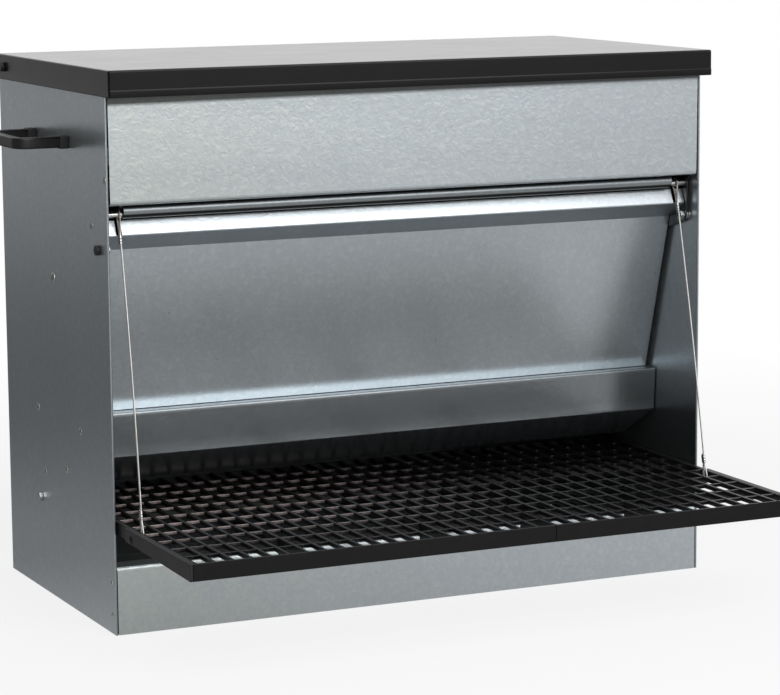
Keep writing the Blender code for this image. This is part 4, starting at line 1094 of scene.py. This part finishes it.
coat = Finish("black_powder_coat", **COAT_GLOSS)
dust = coat.noise(LID_DUST["scale"], 5, 0.6)
specks = coat.marks(SPECKS["start"], SPECKS["gain"], SPECKS["scale"], 2)
dusting = (dust * LID_DUST["share"] + specks * SPECKS["share"]).limited()
coat.surface(
    Base_Color=coat.blend(dusting, COAT_DARK, COAT_DUSTY),
    Roughness=(LID_DUST["least"] + dust * LID_DUST["swing"]).limited(),
    Normal=coat.grain(**PEEL),
)
lid_low, lid_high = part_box("lid")
lid_top, lid_bottom = lid_high.z, lid_low.z


def skirt_line(step):
    """The lid's section: (distance in from the outer face, height) from the top to the hem's free edge."""
    hem_top = lid_bottom + HEM_HEIGHT
    line = [(LID_INLAY, lid_top)] + arc((LID_BEND, lid_top - LID_BEND), LID_BEND, 90, 180, LID_BEND_STEPS)
    line += [(step * share, hem_top + rise) for share, rise in HEM_SLOPE.items()]
    line += arc((step + HEM_ROUND, lid_bottom + HEM_ROUND), HEM_ROUND, 180, 360, LID_BEND_STEPS)
    return line + [(step + 2 * HEM_ROUND, hem_top)]


def lid_stations():
    """Places round the skirt from rear left to rear right: (plan point, way in, step of the hem)."""
    stations = []
    for side in (-1, 1):
        outer = side * lid_high.x
        run = [(Vector((outer, lid_high.y)), Vector((-side, 0)), 0.0)]
        centre = Vector((outer - side * LID_CORNER, lid_low.y + LID_CORNER))
        for step in range(LID_CORNER_STEPS + 1):
            angle = math.radians(90 * step / LID_CORNER_STEPS)
            out = Vector((side * math.cos(angle), -math.sin(angle)))
            run.append((centre + out * LID_CORNER, -out, HEM_STEP * math.sin(angle)))
        stations.append(run)
    return stations[0] + stations[1][::-1]


def lid_point(outer, inward, depth):
    """The plan point at a depth in from the skirt. Further in than the round, a corner is square."""
    if depth > LID_CORNER and outer.y < 0:
        return Vector((math.copysign(lid_high.x - depth, outer.x), lid_low.y + depth))
    return outer + inward * depth


shape = bmesh.new()
columns = []
for outer, inward, step in lid_stations():
    points = [(*lid_point(outer, inward, depth), z) for depth, z in skirt_line(step)]
    columns.append([shape.verts.new(point) for point in points])
for first, second in zip(columns, columns[1:]):
    for index in range(len(first) - 1):
        shape.faces.new((first[index], second[index], second[index + 1], first[index + 1]))
inner = [column[0] for column in columns]
shape.faces.new([inner[0], inner[1], inner[-2], inner[-1]])
bmesh.ops.remove_doubles(shape, verts=shape.verts, dist=SAME_POINT)
bmesh.ops.recalc_face_normals(shape, faces=shape.faces)
lid = added("lid_shell", finished("lid_shell", shape), "lid", ["lid"])
dressed(thickened(lid, offset=-1.0), coat.owner, edge=0)

lid_depth, fold_top = lid_high.y - FRONT, lid_top - REAR_FOLD_DROP
fold = arc((lid_depth - LID_BEND, fold_top - LID_BEND), LID_BEND, 90, 0, LID_BEND_STEPS)
fold = [(lid_depth - REAR_FOLD_REACH, fold_top)] + fold + [(lid_depth, lid_bottom)]
mesh = sheet_of("lid_rear_fold", fold, lambda y, z: WALL - REAR_FOLD_GAP)
rear_fold = added("lid_rear_fold", mesh, "lid")
dressed(thickened(rear_fold, offset=-1.0), coat.owner, edge=0)
for word in SIDES:
    dressed(nodes["lid_bolt_" + word], steel_paint, edge=PAINTED_EDGE)


# Handles: a moulded black grip on each wall, on a foot block at each end, with softly rounded edges.
# Screws from inside the wall, which don't show, hold the foot blocks.
GRIP = {"width": 11 * MM, "leg": 13 * MM, "corner": 10 * MM, "round": 2.2 * MM}
GRIP_STEPS = {"corner": 8, "round": 4}
GRIP_GAP = 0.3 * MM
LEG_LEAN = 0.7
FOOT_BLOCK = {"length": 16 * MM, "reach": 10 * MM, "height": 14 * MM, "past_leg": 1 * MM, "edge": 1.2 * MM}
GRIP_PLASTIC = {"gloss": 0.4, "dark": (0.007, 0.007, 0.008, 1), "light": (0.020, 0.019, 0.019, 1)}
GRIP_FILM = {"scale": 30, "least": 0.30, "swing": 0.16}
GRIP_GRAIN = {"scale": 1100, "strength": 0.3, "depth": 0.05 * MM}
grip_plastic = black("black_grip_plastic", GRIP_PLASTIC, GRIP_FILM, GRIP_GRAIN)


def rounded(width, height):
    """A rectangle's outline with rounded corners."""
    u, v = width / 2 - GRIP["round"], height / 2 - GRIP["round"]
    outline = []
    for turn, corner in enumerate(((u, v), (-u, v), (-u, -v), (u, -v))):
        outline += arc(corner, GRIP["round"], 90 * turn, 90 * (turn + 1), GRIP_STEPS["round"])
    return outline


for word, side in SIDES.items():
    low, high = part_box("handle_" + word)
    height, middle_z = high.z - low.z, middle("handle_" + word).z
    bar = max(abs(low.x), abs(high.x)) - WALL - GRIP["width"] / 2
    legs = (low.y + GRIP["leg"] / 2, high.y - GRIP["leg"] / 2)
    path = [(GRIP_GAP, legs[0]), (bar, legs[0]), (bar, legs[1]), (GRIP_GAP, legs[1])]
    line = bent(path, GRIP["corner"], steps=GRIP_STEPS["corner"])
    shape = bmesh.new()
    rings = []
    for index, point in enumerate(line):
        ahead = line[min(index + 1, len(line) - 1)] - line[max(index - 1, 0)]
        across = Vector((-ahead.y, ahead.x)).normalized()
        width = GRIP["leg"] if abs(ahead.normalized().x) > LEG_LEAN else GRIP["width"]
        plans = [(point + across * u, v) for u, v in rounded(width, height)]
        rings.append([shape.verts.new((side * (WALL + plan.x), plan.y, middle_z + v)) for plan, v in plans])
    skinned(shape, rings)
    name = "grip_" + word
    grip = added(name, finished(name, shape), "case", ["handle_" + word])
    dressed(grip, grip_plastic, edge=0)
    inset = FOOT_BLOCK["length"] / 2 - FOOT_BLOCK["past_leg"]
    for end, y in (("front", low.y + inset), ("rear", high.y - inset)):
        shape = bmesh.new()
        centre = (side * (WALL + GRIP_GAP + FOOT_BLOCK["reach"] / 2), y, middle_z)
        boxed(shape, centre, (FOOT_BLOCK["reach"], FOOT_BLOCK["length"], FOOT_BLOCK["height"]))
        name = "grip_foot_" + end + "_" + word
        foot = added(name, finished(name, shape), "case")
        dressed(foot, grip_plastic, edge=FOOT_BLOCK["edge"])
